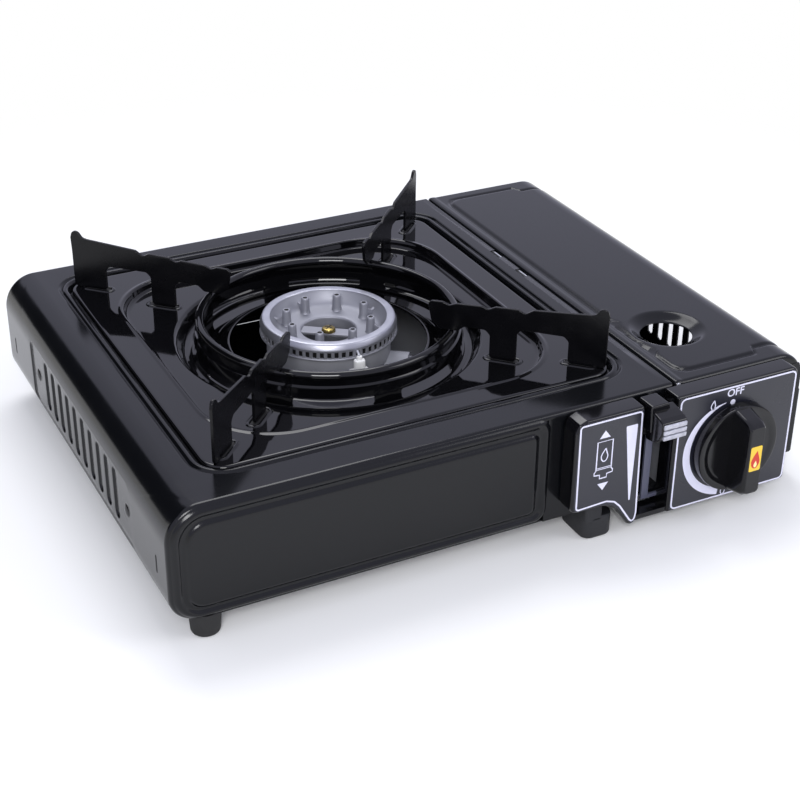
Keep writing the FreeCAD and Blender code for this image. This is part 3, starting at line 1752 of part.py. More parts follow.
def heat_shield():
    """Bright sheet under the burner's far side, folded down to the floor at both ends."""
    x = (burner_x + shield_clearance, seam_x - sheet * 2 - shield_side_gap)
    y = (front + shield_front_inset, back - shield_back_inset)
    floor = wall_bottom + sheet
    top = box("shield_top", x, y, (shield_height, shield_height + sheet))
    feet = [
        box(f"shield_end_{index}", x, span, (floor, shield_height))
        for index, span in enumerate(((y[0], y[0] + sheet), (y[1] - sheet, y[1])))
    ]
    return keep(fuse("heat_shield", [top] + feet))


def feet_and_screws():
    rows = {"front": front + foot_front, "back": back - foot_front}
    feet = []
    for label, y in rows.items():
        feet.append(
            taper(
                f"foot_left_{label}",
                (-half + foot_inset, y, 0),
                "z",
                foot_radius,
                foot_radius + 0.8,
                wall_bottom,
            )
        )
        feet.append(rod(f"foot_right_{label}", (cartridge_x, y, 0), "z", foot_radius, trough_bottom))
    keep(fuse("rubber_feet", feet))
    left = label_left + front_foot_inset
    block_y = (front - front_foot_reach, front + front_foot_depth)
    block = box("front_foot_block", (left, left + front_foot_width), block_y, (0, wall_bottom))
    lip = box(
        "front_foot_lip",
        (left, left + front_foot_lip),
        (front - front_foot_reach, front),
        (wall_bottom - 1, wall_bottom + lip_rise),
    )
    rounded = round_edges(
        "front_foot_rounded", block, corner_radii("y", (left + 8, 6), {(-1, -1): front_foot_round})
    )
    keep(fuse("front_foot", [rounded, lip]))
    heads = []
    for index, y in enumerate(screw_places()):
        for label, face, turn in (("left", -half - screw_head, 1), ("right", half, -1)):
            head = rod(
                f"screw_head_{label}_{index}", (face, y, screw_height), "x", screw_radius, screw_head
            )
            heads.append(head)
            inside = face + screw_head if turn > 0 else face - sheet - 2
            heads.append(
                rod(
                    f"screw_shank_{label}_{index}",
                    (inside, y, screw_height),
                    "x",
                    screw_radius / 2,
                    sheet + 2,
                )
            )
    keep(fuse("wall_screws", heads))
    under = [
        rod(f"base_screw_{column}_{row}", (x, y, wall_bottom - screw_head), "z", screw_radius, screw_head)
        for column, x in enumerate((-half + 60, seam_x - 30))
        for row, y in enumerate((front + 30, back - 30))
    ]
    keep(fuse("base_screws", under))


CASE = (top_shell, front_plate, back_plate, right_wall, base_pan, partition_plate)
INSIDE = (burner_body, burner_head, burner_screw, burner_bracket, mixing_tube, ignition, gas_line)
BAY = (regulator, valve, cradle, carriage, heat_shield, lid, hinge_pins)
CONTROLS = (control_panel, knob, lever)
COOKING = (drip_tray, pan_ring, feet_and_screws)

for build in CASE + INSIDE + BAY + CONTROLS + COOKING:
    build()
for name, bearing in (
    ("pan_support_front_left", -135),
    ("pan_support_front_right", -45),
    ("pan_support_back_right", 45),
    ("pan_support_back_left", 135),
):
    pan_support(name, bearing)

doc.recompute()
os.makedirs("parts", exist_ok=True)
for item in doc.Objects:
    assert "Invalid" not in item.State and "Error" not in item.State, item.Name
for node in nodes:
    assert not node.Shape.isNull() and node.Shape.isValid(), node.Label
    node.Shape.exportStep(f"parts/{node.Label}.step")
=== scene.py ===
import json
import math

import bmesh
import bpy
from bpy.props import FloatProperty, FloatVectorProperty, IntProperty, PointerProperty
from mathutils import Matrix, Vector


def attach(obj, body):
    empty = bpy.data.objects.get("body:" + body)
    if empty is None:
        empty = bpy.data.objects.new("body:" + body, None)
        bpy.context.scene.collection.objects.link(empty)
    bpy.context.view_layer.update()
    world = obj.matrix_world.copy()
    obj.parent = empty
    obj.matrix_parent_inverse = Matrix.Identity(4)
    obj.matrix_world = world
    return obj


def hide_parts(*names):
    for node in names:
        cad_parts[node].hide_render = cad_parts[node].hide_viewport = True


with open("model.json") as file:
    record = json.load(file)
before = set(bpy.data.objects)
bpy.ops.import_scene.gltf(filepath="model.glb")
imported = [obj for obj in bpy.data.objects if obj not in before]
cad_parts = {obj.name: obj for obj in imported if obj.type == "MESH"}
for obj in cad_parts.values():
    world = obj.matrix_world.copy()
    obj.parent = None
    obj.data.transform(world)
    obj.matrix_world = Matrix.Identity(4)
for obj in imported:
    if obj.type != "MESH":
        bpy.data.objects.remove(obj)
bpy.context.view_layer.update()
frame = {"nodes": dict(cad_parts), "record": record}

bl_info = {
    "name": "Butane cassette stove",
    "version": (1, 0, 0),
    "blender": (4, 5, 0),
    "location": "View3D > Sidebar > Stove",
    "description": "Dresses the CAD frame of a butane cassette stove with its pressed and moulded pieces",
    "category": "Mesh",
}

# Lengths in the shapes below are in millimetres; a mesh gets its metres in one place.
MM = 0.001
BURNER = (-34.0, 17.0)
FRONT = -116.0
BACK = 146.5
WALL_BOTTOM = 12.5
TOP = 72.5
LOWER_CORNER = 14.0


def linear(hex_colour):
    """An sRGB hex colour as linear red, green, blue and alpha."""
    parts = [int(hex_colour[i : i + 2], 16) / 255 for i in (1, 3, 5)]
    return (*[p / 12.92 if p <= 0.04045 else ((p + 0.055) / 1.055) ** 2.4 for p in parts], 1.0)


# Meshes from loops, plates and turned profiles

def dress(name, part, material, body="case", replaces=(), sharp=35):
    """Makes a smooth-shaded piece of (vertices, faces) that rides on a body."""
    vertices, faces = part
    mesh = bpy.data.meshes.new(name)
    mesh.from_pydata([Vector(point) * MM for point in vertices], [], faces)
    work = bmesh.new()
    work.from_mesh(mesh)
    bmesh.ops.remove_doubles(work, verts=work.verts, dist=0.000004)
    bmesh.ops.recalc_face_normals(work, faces=work.faces)
    work.to_mesh(mesh)
    work.free()
    mesh.shade_smooth()
    mesh.set_sharp_from_angle(angle=math.radians(sharp))
    mesh.materials.append(material)
    piece = bpy.data.objects.new(name, mesh)
    bpy.context.scene.collection.objects.link(piece)
    shading = piece.modifiers.new("even_shading", "WEIGHTED_NORMAL")
    shading.keep_sharp = True
    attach(piece, body)
    if replaces:
        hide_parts(*replaces)
    return piece


def bridge(loops, closed=True):
    """Faces between loops that all hold the same number of points."""
    count = len(loops[0])
    vertices = [point for loop in loops for point in loop]
    faces = []
    for row in range(len(loops) - 1):
        for step in range(count if closed else count - 1):
            here = row * count + step
            beside = row * count + (step + 1) % count
            faces.append((here, beside, beside + count, here + count))
    return vertices, faces


def join(*parts):
    """Several (vertices, faces) pairs as one."""
    vertices, faces = [], []
    for points, polygons in parts:
        base = len(vertices)
        vertices += list(points)
        faces += [tuple(base + index for index in polygon) for polygon in polygons]
    return vertices, faces


def cap(loop):
    """A single face over a loop."""
    return list(loop), [tuple(range(len(loop)))]


def moved(part, shift=(0, 0, 0), turn=None):
    """A (vertices, faces) pair turned about the origin and then shifted."""
    vertices, faces = part
    turn = turn or Matrix.Identity(3)
    return [tuple(turn @ Vector(v) + Vector(shift)) for v in vertices], faces


FACING_FRONT = Matrix.Rotation(math.radians(90), 3, "X")
FACING_LEFT = Matrix.Rotation(math.radians(-90), 3, "Y")


def rounded_loop(x, y, radii, z=0.0, corner=16, side=14):
    """A rounded rectangle, anticlockwise from its lower right corner, always with the same point count.

    radii is one number, or one for each of the corners (+x -y), (+x +y), (-x +y) and (-x -y), where a
    corner that isn't round has a pair of numbers for x and y."""
    if not isinstance(radii, (tuple, list)):
        radii = (radii,) * 4
    pairs = [r if isinstance(r, (tuple, list)) else (r, r) for r in radii]
    signs = ((1, -1), (1, 1), (-1, 1), (-1, -1))
    arcs = []
    for index, ((sx, sy), (rx, ry)) in enumerate(zip(signs, pairs)):
        cx = (x[1] - rx) if sx > 0 else (x[0] + rx)
        cy = (y[1] - ry) if sy > 0 else (y[0] + ry)
        arc = []
        for step in range(corner + 1):
            angle = math.radians(90 * index - 90 + 90 * step / corner)
            arc.append((cx + rx * math.cos(angle), cy + ry * math.sin(angle), z))
        arcs.append(arc)
    points = []
    for index, arc in enumerate(arcs):
        points += arc
        last, first = Vector(arc[-1]), Vector(arcs[(index + 1) % 4][0])
        points += [tuple(last.lerp(first, k / (side + 1))) for k in range(1, side + 1)]
    return points


def square_loop(reach, radius, z, middle=BURNER):
    """A rounded square about the burner, in the point order of rounded_loop."""
    x, y = middle
    return rounded_loop((x - reach, x + reach), (y - reach, y + reach), radius, z)


def round_loop(pattern, radius, z, middle=BURNER):
    """A circle whose points lie in the directions of another loop's points."""
    points = []
    for x, y, _ in pattern:
        angle = math.atan2(y - middle[1], x - middle[0])
        points.append((middle[0] + radius * math.cos(angle), middle[1] + radius * math.sin(angle), z))
    return points


def soften(points, radii, steps=5):
    """A closed 2D outline with its corners rounded; radii is one number or one for each corner."""
    count = len(points)
    radii = radii if isinstance(radii, (tuple, list)) else [radii] * count
    result = []
    for index in range(count):
        here = Vector(points[index])
        before = Vector(points[index - 1]) - here
        after = Vector(points[(index + 1) % count]) - here
        between = before.angle(after, math.pi)
        if radii[index] <= 0 or between > math.radians(178):
            result.append(tuple(here))
            continue
        trim = min(radii[index] / math.tan(between / 2), before.length * 0.48, after.length * 0.48)
        radius = trim * math.tan(between / 2)
        inwards = (before.normalized() + after.normalized()).normalized()
        middle = here + inwards * (radius / math.sin(between / 2))
        first = here + before.normalized() * trim - middle
        last = here + after.normalized() * trim - middle
        for step in range(steps + 1):
            result.append(tuple(middle + first.normalized().slerp(last.normalized(), step / steps) * radius))
    return result


def circle(middle, radius, count=48):
    """Points of a circle, anticlockwise."""
    angles = [2 * math.pi * k / count for k in range(count)]
    return [(middle[0] + radius * math.cos(a), middle[1] + radius * math.sin(a)) for a in angles]


def lathe(profile, middle=(0, 0), segments=96):
    """Turns a line of (radius, height) about an upright line."""
    loops = []
    for radius, height in profile:
        loops.append([(x, y, height) for x, y in circle(middle, radius, segments)])
    return bridge(loops)


def plate(outlines, thickness, edge, resolution=2):
    """A flat plate in XY, centred on Z 0, from an outer outline and its holes, with rounded edges."""
    curve = bpy.data.curves.new("plate_blank", "CURVE")
    curve.dimensions = "2D"
    curve.fill_mode = "BOTH"
    curve.extrude = (thickness / 2 - edge) * MM
    curve.bevel_depth = edge * MM
    curve.bevel_resolution = resolution
    curve.offset = -edge * MM
    for outline in outlines:
        spline = curve.splines.new("POLY")
        spline.points.add(len(outline) - 1)
        for point, (x, y) in zip(spline.points, outline):
            point.co = (x * MM, y * MM, 0, 1)
        spline.use_cyclic_u = True
    return curve_part(curve)


def curve_part(curve):
    """The filled mesh of a curve or text as (vertices, faces) in millimetres."""
    holder = bpy.data.objects.new("plate_blank", curve)
    bpy.context.scene.collection.objects.link(holder)
    bpy.context.view_layer.update()
    graph = bpy.context.evaluated_depsgraph_get()
    mesh = bpy.data.meshes.new_from_object(holder.evaluated_get(graph))
    part = ([tuple(v.co / MM) for v in mesh.vertices], [tuple(p.vertices) for p in mesh.polygons])
    bpy.data.objects.remove(holder)
    bpy.data.meshes.remove(mesh)
    if curve.name in bpy.data.curves:
        bpy.data.curves.remove(curve)
    return part


def front_plate(outlines, y, edge=0.4):
    """A plate whose outlines are front views in X and Z, between two depths."""
    return moved(plate(outlines, y[1] - y[0], edge), (0, (y[0] + y[1]) / 2, 0), FACING_FRONT)


def block(x, y, z, radius=0.5, upright=None):
    """A block whose upright corners and rims are rounded."""
    upright = upright or radius
    low, high = z
    loops = []
    for inset, height in ((radius, low), (radius * 0.3, low + radius * 0.3), (0, low + radius)):
        loops.append((inset, height))
    for inset, height in ((0, high - radius), (radius * 0.3, high - radius * 0.3), (radius, high)):
        loops.append((inset, height))
    rings = []
    for inset, height in loops:
        span = [(side[0] + inset, side[1] - inset) for side in (x, y)]
        rings.append(rounded_loop(*span, max(upright - inset, 0.05), height, 5, 1))
    return join(bridge(rings), cap(rings[0]), cap(rings[-1]))


# Materials

# Colour, size of the colour patches and of the relief in mm, roughness, height of the relief in mm and
# shader values. A colour is a pair of hex colours, or one hex colour or setting with its two shares.
FINISHES = {
    # Baked alkyd paint, sprayed on pressed steel: deep black with a soft sheen and faint orange peel
    "baked_black_paint": (
        ("paint", 0.85, 1.15), (40, 3), (0.13, 0.18), 0.003, {"IOR": 1.47, "Specular IOR Level": 0.36}
    ),
    # Fired glass enamel on steel: blacker and much glossier than the paint, with a slight flow ripple
    "fired_black_enamel": (
        ("enamel", 0.8, 1.3), (30, 6), (0.04, 0.07), 0.004, {"IOR": 1.5, "Specular IOR Level": 0.42}
    ),
    # Thin enamel on blanked steel: satin, with a fine pebble that breaks its highlights
    "satin_black_enamel": (
        ("enamel", 0.9, 1.5), (12, 1.2), (0.2, 0.3), 0.005, {"IOR": 1.5, "Specular IOR Level": 0.25}
    ),
    # Die-cast aluminium, bead-blasted: pale and even, with a grain of 0.15 mm drawn at 0.5 mm to show
    "blasted_cast_aluminium": (("castings", 0.86, 1.06), (9, 0.5), (0.5, 0.62), 0.025, {"Metallic": 0.7}),
    # Aluminium as it left the mould: dull and oxidised, so it scatters more than it mirrors
    "oxidised_cast_aluminium": (("castings", 0.9, 1.15), (9, 0.8), (0.55, 0.7), 0.03, {"Metallic": 0.3}),
    # The casting's machined rim: smoother and brighter than the blasted skin
    "machined_cast_aluminium": (("castings", 1.1, 1.4), (6, 0.4), (0.3, 0.42), 0.01, {"Metallic": 0.85}),
    # Bright zinc plating on rolled sheet: light grey with a streaked, slightly cloudy gloss
    "bright_zinc_plating": (("plating", 0.85, 1.05), (14, 1.5), (0.42, 0.55), 0.004, {"Metallic": 0.6}),
    # Turned brass left bare: warm yellow metal with fine tool marks
    "turned_brass": (("#8C7B48", 0.8, 1.1), (4, 0.4), (0.22, 0.34), 0.004, {"Metallic": 1.0}),
    # ABS from a polished mould: black with a clear gloss and shallow sink marks
    "moulded_black_abs": (
        ("plastic", 0.85, 1.15), (20, 5), (0.1, 0.15), 0.003, {"IOR": 1.53, "Specular IOR Level": 0.4}
    ),
    # Polypropylene from a spark-eroded mould: dull black with a fine grain drawn at 0.5 mm
    "grained_black_polypropylene": (("#121316", "#1C1D21"), (10, 0.5), (0.5, 0.62), 0.02, {"IOR": 1.49}),
    # Satin grey moulding behind the lever
    "moulded_grey_abs": (("guide", 0.85, 1.1), (10, 1.0), (0.3, 0.4), 0.005, {"IOR": 1.53}),
    # Hot-foiled silver on the lever's nose: pale, scuffed metal
    "scuffed_silver_foil": (("#8A8B98", "#E2E3EC"), (2.2, 0.7), (0.3, 0.5), 0.02, {"Metallic": 0.7}),
    # Printed polycarbonate face: charcoal with a blue cast and a smooth satin gloss
    "printed_charcoal_face": (("face", 0.9, 1.1), (25, 0.8), (0.26, 0.32), 0.002, {"IOR": 1.58}),
    # Screen-printed silver ink: pale lilac grey, a little uneven where the mesh left it
    "screen_printed_silver": (("print_ink", 0.92, 1.0), (2, 0.4), (0.4, 0.5), 0.002, {"IOR": 1.5}),
    # Printed vinyl film of the knob's sticker, in three inks
    "yellow_vinyl": (("#E9C43A", 0.92, 1.0), (3, 0.6), (0.3, 0.4), 0.002, {"IOR": 1.5}),
    "red_vinyl": (("#C8321E", 0.92, 1.0), (3, 0.6), (0.3, 0.4), 0.002, {"IOR": 1.5}),
    "pale_vinyl": (("#F4E6A0", 0.92, 1.0), (3, 0.6), (0.3, 0.4), 0.002, {"IOR": 1.5}),
    # Moulded nitrile rubber: dull near-black with a dry, dusty grain
    "moulded_rubber": (("#141414", "#242424"), (5, 0.6), (0.7, 0.85), 0.02, {"IOR": 1.5}),
    # Extruded silicone sleeving over the ignition lead: black-grey and waxy
    "silicone_sleeve": (("#1C1C1E", "#2A2A2C"), (6, 0.8), (0.45, 0.6), 0.01, {"IOR": 1.41}),
    # Glazed alumina: white, dense and shiny, with a faint speckle
    "glazed_alumina": (("#E4E4E6", "#F4F4F6"), (2, 1.0), (0.12, 0.2), 0.004, {"IOR": 1.6}),
    # Painted shade: an almost black finish that stands in for the shade inside narrow punched slits, slots,
    # ports and recesses
    "shadowed_steel": (("#040405", "#08080A"), (3, 0.6), (0.7, 0.9), 0.01, {"IOR": 1.5}),
    # Matt white paper sweep under the stove, bright enough to read as plain white
    "white_paper": (("#F7F7F8", "#FAFAFB"), (300, 20), (0.85, 0.9), 0.01, {"IOR": 1.4}),
    # Black duvetyn on the flag that keeps the left shoulder's reflection dark
    "black_duvetyn": (("#050506", "#0C0C0D"), (40, 2), (0.9, 1.0), 0.05, {"IOR": 1.4}),
}
# Finishes whose grain runs along one direction, with the stretch of their pattern in X, Y and Z
STREAKED = {"bright_zinc_plating": (1, 0.15, 1)}


def add_node(tree, kind, settings=None, links=None):
    """Adds a node, sets its sockets or properties and links its inputs."""
    item = tree.nodes.new(kind)
    for key, value in (settings or {}).items():
        if isinstance(key, int) or key in item.inputs:
            item.inputs[key].default_value = value
        else:
            setattr(item, key, value)
    for key, source in (links or {}).items():
        tree.links.new(source, item.inputs[key])
    return item


def tones(context, ink):
    """The two linear colours between which a finish varies."""
    if len(ink) == 2:
        return [linear(hex_colour) for hex_colour in ink]
    base, *shares = ink
    if base.startswith("#"):
        base = linear(base)
    else:
        base = getattr(context.scene.stove_colours, base)
    return [(*[channel * share for channel in base[:3]], 1.0) for share in shares]


def finish(context, name):
    """A surface whose colour and roughness vary gently and whose grain is felt in its gloss."""
    if name in bpy.data.materials:
        return bpy.data.materials[name]
    ink, grain, roughness, bump, shader = FINISHES[name]
    dark, light = tones(context, ink)
    material = bpy.data.materials.new(name)
    material.use_nodes = True
    tree = material.node_tree
    tree.nodes.clear()
    place = add_node(tree, "ShaderNodeTexCoord")
    scaled = add_node(
        tree,
        "ShaderNodeMapping",
        {"Scale": STREAKED.get(name, (1, 1, 1))},
        {"Vector": place.outputs["Object"]},
    )
    patches, relief = [
        add_node(
            tree,
            "ShaderNodeTexNoise",
            {"Scale": 1 / (size * MM), "Detail": detail},
            {"Vector": scaled.outputs[0]},
        )
        for size, detail in zip(grain, (3.0, 4.0))
    ]
    mix = add_node(
        tree, "ShaderNodeMix", {"data_type": "RGBA", 6: dark, 7: light}, {0: patches.outputs[0]}
    )
    gloss = add_node(
        tree,
        "ShaderNodeMapRange",
        {"From Min": 0.3, "From Max": 0.7, "To Min": roughness[0], "To Max": roughness[1]},
        {"Value": patches.outputs[0]},
    )
    raised = add_node(
        tree, "ShaderNodeBump", {"Strength": 1.0, "Distance": bump * MM}, {"Height": relief.outputs[0]}
    )
    surface = add_node(
        tree,
        "ShaderNodeBsdfPrincipled",
        shader,
        {"Base Color": mix.outputs[2], "Roughness": gloss.outputs[0], "Normal": raised.outputs[0]},
    )
    add_node(tree, "ShaderNodeOutputMaterial", {}, {"Surface": surface.outputs[0]})
    return material


def sizes(context):
    """The sizes that a user would change."""
    return context.scene.stove_sizes


# Sizes and colours that a user would change

def length(name, description, value):
    """A length setting, given in millimetres."""
    return FloatProperty(
        name=name, description=description, default=value * MM, unit="LENGTH", subtype="DISTANCE"
    )


def colour(name, description, hex_colour):
    """A colour setting, given as an sRGB hex colour."""
    return FloatVectorProperty(
        name=name,
        description=description,
        default=linear(hex_colour)[:3],
        size=3,
        subtype="COLOR",
        min=0,
        max=1,
    )


class StoveSizes(bpy.types.PropertyGroup):
    """Sizes of the visible pressings, castings and mouldings"""

    body_width: length("Body width", "Width of the case over its side walls", 344)
    top_height: length("Top height", "Height of the top plate above the table", 72.5)
    shoulder_x: length("Shoulder width", "Width of the rounded left shoulder", 17)
    shoulder_z: length("Shoulder drop", "Height of the rounded left shoulder", 18)
    edge_round: length("Edge round", "Radius where the top turns down at the front and back", 2.5)
    vent_pitch: length("Vent pitch", "Distance from one side vent to the next", 12.6)
    ring_radius: length("Ring radius", "Radius of the pan ring over its rolled rim", 69.0)
    head_radius: length("Burner radius", "Radius of the burner head", 35.6)
    support_sheet: length("Support sheet", "Thickness of a pan support", 1.6)
    knob_radius: length("Knob radius", "Radius of the gas knob's disc", 23.7)
    print_line: length("Print line", "Width of the printed border on the face plates", 0.9)
    port_count: IntProperty(
        name="Flame ports", description="Flame ports round the burner", default=60, min=12
    )
    vent_count: IntProperty(name="Vents", description="Pressed vents in the left wall", default=10, min=1)


class StoveColours(bpy.types.PropertyGroup):
    """Colours of the stove's finishes"""

    paint: colour("Paint", "Baked black paint on the case", "#0A0B0E")
    enamel: colour("Enamel", "Fired enamel on the tray, ring and supports", "#060608")
    plastic: colour("Plastic", "Moulded plastic of the knob and housing", "#08080B")
    face: colour("Face plate", "Printed face plates of the controls", "#1D1E28")
    print_ink: colour("Print", "Silver print on the face plates", "#DCDCF0")
    castings: colour("Castings", "Bead-blasted cast aluminium", "#96979F")
    plating: colour("Plating", "Bright zinc plating on inner steel", "#B4B6BE")
    guide: colour("Guide plate", "Grey moulding behind the lever", "#55576A")


# Case

class CaseCurve:
    """The case's left outline in X and Z, walked from the flat top round the shoulder and under the wall."""

    def __init__(self, group):
        half, top = group.body_width / MM / 2, group.top_height / MM
        rx, rz = group.shoulder_x / MM, group.shoulder_z / MM
        self.samples = []
        for step in range(49):
            angle = math.radians(90 + 90 * step / 48)
            c, s = math.cos(angle), math.sin(angle)
            normal = Vector((c / rx, s / rz)).normalized()
            self.add(-half + rx + rx * c, top - rz + rz * s, normal)
        self.add(-half, WALL_BOTTOM + LOWER_CORNER, Vector((-1, 0)))
        for step in range(1, 25):
            angle = math.radians(180 + 90 * step / 24)
            c, s = math.cos(angle), math.sin(angle)
            x = -half + LOWER_CORNER + LOWER_CORNER * c
            self.add(x, WALL_BOTTOM + LOWER_CORNER + LOWER_CORNER * s, Vector((c, s)))
        self.add(-half + 20, WALL_BOTTOM, Vector((0, -1)))
        self.add(-half + 24, WALL_BOTTOM - 0.1, Vector((0, -1)))
        self.length = self.samples[-1][0]

    def add(self, x, z, normal):
        """Adds a sample, with its distance from the start."""
        travelled = 0.0
        if self.samples:
            last = self.samples[-1]
            travelled = last[0] + math.hypot(x - last[1], z - last[2])
        self.samples.append((travelled, x, z, normal.x, normal.y))

    def at(self, s):
        """Place and outward normal (x, z, normal x, normal z) at a distance along the curve."""
        for before, after in zip(self.samples, self.samples[1:]):
            if s <= after[0] or after is self.samples[-1]:
                t = min(max((s - before[0]) / (after[0] - before[0]), 0), 1)
                return [a + (b - a) * t for a, b in zip(before, after)][1:]
        return self.samples[-1][1:]

    def point(self, y, s, depth=0.0):
        """A point at a distance along the curve, moved inwards by a depth."""
        x, z, nx, nz = self.at(s)
        return (x - nx * depth, y, z - nz * depth)

    def height(self, z):
        """How far along the curve a height is first met."""
        return next(s for s, _, sample_z, _, _ in self.samples if sample_z <= z)


def turned_down(line, y_face, radius, towards, steps=7):
    """Rounds a swept outline over into an end plane; line holds (x, z, normal x, normal z)."""
    rows = []
    for step in range(steps + 1):
        angle = math.radians(90 * step / steps)
        inset = radius * (1 - math.cos(angle))
        y = y_face - towards * radius * (1 - math.sin(angle))
        rows.append([(x - nx * inset, y, z - nz * inset) for x, z, nx, nz in line])
    return bridge(rows, closed=False)


SEAM_X = 91.0
NOTCH_X = 87.0
NOTCHES = ((22.0, 32.0), (50.0, 60.0))
SEAM_ROUND = 1.2
FLAT_LEFT = -155.0

# Reach from the burner's middle and height, from the flat top over the bead's groove into the recess
RECESS = (
    (115.6, 72.5), (115.1, 72.38), (114.7, 72.0), (114.3, 71.5), (113.8, 71.2), (113.3, 71.35), (112.9, 71.8),
    (112.5, 72.25), (112.0, 72.48), (111.3, 72.5), (110.8, 72.4), (110.3, 72.0), (109.9, 71.3), (109.6, 70.2),
    (109.5, 68.2), (109.3, 67.4), (108.7, 67.02), (107.8, 67.0), (102.6, 67.0), (102.4, 66.8), (102.4, 66.2),
)


def vent_wall(group, curve):
    """The left wall: a shallow recessed panel with its row of pressed vents."""
    edge = group.edge_round / MM
    outer_y = (FRONT + edge, BACK - edge)
    panel_y, panel_s = (-66.0, 98.0), (curve.height(58.0), curve.height(21.5))
    deep = 0.8
    shape = {"corner": 8, "side": 30}

    def ring(y, s, radius, depth):
        """A rounded rectangle laid on the wall at a depth below it."""
        flat = rounded_loop(y, s, radius, 0, **shape)
        return [curve.point(py, ps, depth) for py, ps, _ in flat]

    loops = []
    steps = 12
    for step in range(steps + 1):
        t = step / steps
        y = tuple(a + (b - a) * t for a, b in zip(outer_y, panel_y))
        s = tuple(a + (b - a) * t for a, b in zip((0, curve.length), panel_s))
        loops.append(ring(y, s, 0.05 + 5 * t, 0))
    for inset, depth in ((0.25, 0.05), (0.6, 0.25), (1.0, 0.55), (1.4, 0.75), (1.8, deep)):
        y = (panel_y[0] + inset, panel_y[1] - inset)
        s = (panel_s[0] + inset, panel_s[1] - inset)
        loops.append(ring(y, s, 5 - inset, depth))
    inner_s = (panel_s[0] + 3.0, panel_s[1] - 3.0)
    inner_y = (panel_y[0] + 4.0, panel_y[1] - 4.0)
    loops.append(ring(inner_y, inner_s, 0.05, deep))
    parts = [bridge(loops)]

    pitch = group.vent_pitch / MM
    first = -42.0
    rows = [inner_s[0] + (inner_s[1] - inner_s[0]) * k / 31 for k in range(32)]
    last = first + pitch * (group.vent_count - 1)
    for y in ((inner_y[0], first - pitch / 2), (last + pitch / 2, inner_y[1])):
        parts.append(bridge([[curve.point(edge_y, s, deep) for s in rows] for edge_y in y], closed=False))
    vent_s = (curve.height(54.5), curve.height(27.5))
    half = 3.5
    for index in range(group.vent_count):
        middle = first + pitch * index
        loops = [ring((middle - pitch / 2, middle + pitch / 2), inner_s, 0.05, deep)]
        for inset, depth in (
            (-0.4, 0), (0, 0.12), (0.25, 0.5), (0.5, 0.9), (0.8, 1.1), (1.2, 1.12), (2.6, 0.8), (3.3, 0.75)
        ):
            y = (middle - half + inset, middle + half - inset)
            s = (vent_s[0] + inset, vent_s[1] - inset)
            loops.append(ring(y, s, half - inset - 0.02, deep + depth))
        parts += [bridge(loops), cap(loops[-1])]
    return parts


def build_case_top(context):
    """The pressed top with its burner recess, seam edge, shoulder and left wall."""
    group = sizes(context)
    top = group.top_height / MM
    edge = group.edge_round / MM
    curve = CaseCurve(group)
    y = (FRONT + edge, BACK - edge)
    loops = [rounded_loop((FLAT_LEFT, NOTCH_X), y, 0.01, top)]
    loops += [square_loop(reach, 12 + reach - 108, z) for reach, z in RECESS]
    parts = [bridge(loops)]

    seam = [(SEAM_X, top - 12, 1, 0), (SEAM_X, top - SEAM_ROUND, 1, 0)]
    for step in range(1, 7):
        angle = math.radians(90 * step / 6)
        c, s = math.sin(angle), math.cos(angle)
        seam.append((SEAM_X - SEAM_ROUND + SEAM_ROUND * s, top - SEAM_ROUND + SEAM_ROUND * c, s, c))
    seam.append((NOTCH_X, top, 0, 1))
    spans = [(y[0], NOTCHES[0][0]), (NOTCHES[0][1], NOTCHES[1][0]), (NOTCHES[1][1], y[1])]
    for span in spans:
        parts.append(bridge([[(x, end, z) for x, z, _, _ in seam] for end in span], closed=False))
    for low, high in NOTCHES:
        foot = [(NOTCH_X, low), (NOTCH_X, high)]
        parts.append(bridge([[(x, ny, z) for x, ny in foot] for z in (top, top - 4)], closed=False))
        floor = [[(x, ny, top - 4) for ny in (low, high)] for x in (NOTCH_X, SEAM_X)]
        parts.append(bridge(floor, closed=False))
    line = seam + [(FLAT_LEFT, top, 0, 1)] + [tuple(curve.at(curve.length * k / 80)) for k in range(1, 81)]
    parts.append(turned_down(line, FRONT, edge, -1))
    parts.append(turned_down(line, BACK, edge, 1))
    parts += vent_wall(group, curve)
    dress(
        "case_top_pressing", join(*parts), finish(context, "baked_black_paint"), replaces=["top_shell"],
    )
    # Flat near-black patches just outside the left wall near its ends: painted shade where narrow slits would
    # be
    slot_shades = []
    for middle in (-100.5, 131.0):
        outline = rounded_loop((middle - 0.9, middle + 0.9), (32.5, 42.0), 0.85, 0, 6, 4)
        slot_shades.append(cap([(-group.body_width / MM / 2 - 0.03, sy, sz) for sy, sz, _ in outline]))
    dress("case_wall_slits", join(*slot_shades), finish(context, "shadowed_steel"))


# Inset from the outline and how far the end plate stands proud there
END_BEAD = (
    (1.2, -0.6), (1.6, -0.2), (2.1, 0.35), (2.7, 0.85), (3.5, 1.2), (4.3, 1.2), (5.1, 0.85), (5.8, 0.3),
    (6.5, 0.0), (7.6, -0.05), (8.3, 0.15), (8.9, 0.65), (9.5, 1.15), (10.2, 1.42), (11.2, 1.5),
)


def end_face(group, right, face, towards):
    """The left part of an end plate: rolled bead, valley and raised panel."""
    half, top = group.body_width / MM / 2, group.top_height / MM
    rx, rz = group.shoulder_x / MM, group.shoulder_z / MM
    loops = []
    for inset, proud in END_BEAD:
        corner = max(7 - inset * 0.4, 2.5)
        radii = (corner, corner, (rx - inset * 0.8, rz - inset * 0.8), max(LOWER_CORNER - inset * 0.7, 2))
        flat = rounded_loop((-half + inset, right - inset), (WALL_BOTTOM + inset * 0.8, top - inset), radii)
        loops.append([(x, face + towards * proud, z) for x, z, _ in flat])
    return [bridge(loops), cap(loops[-1])]


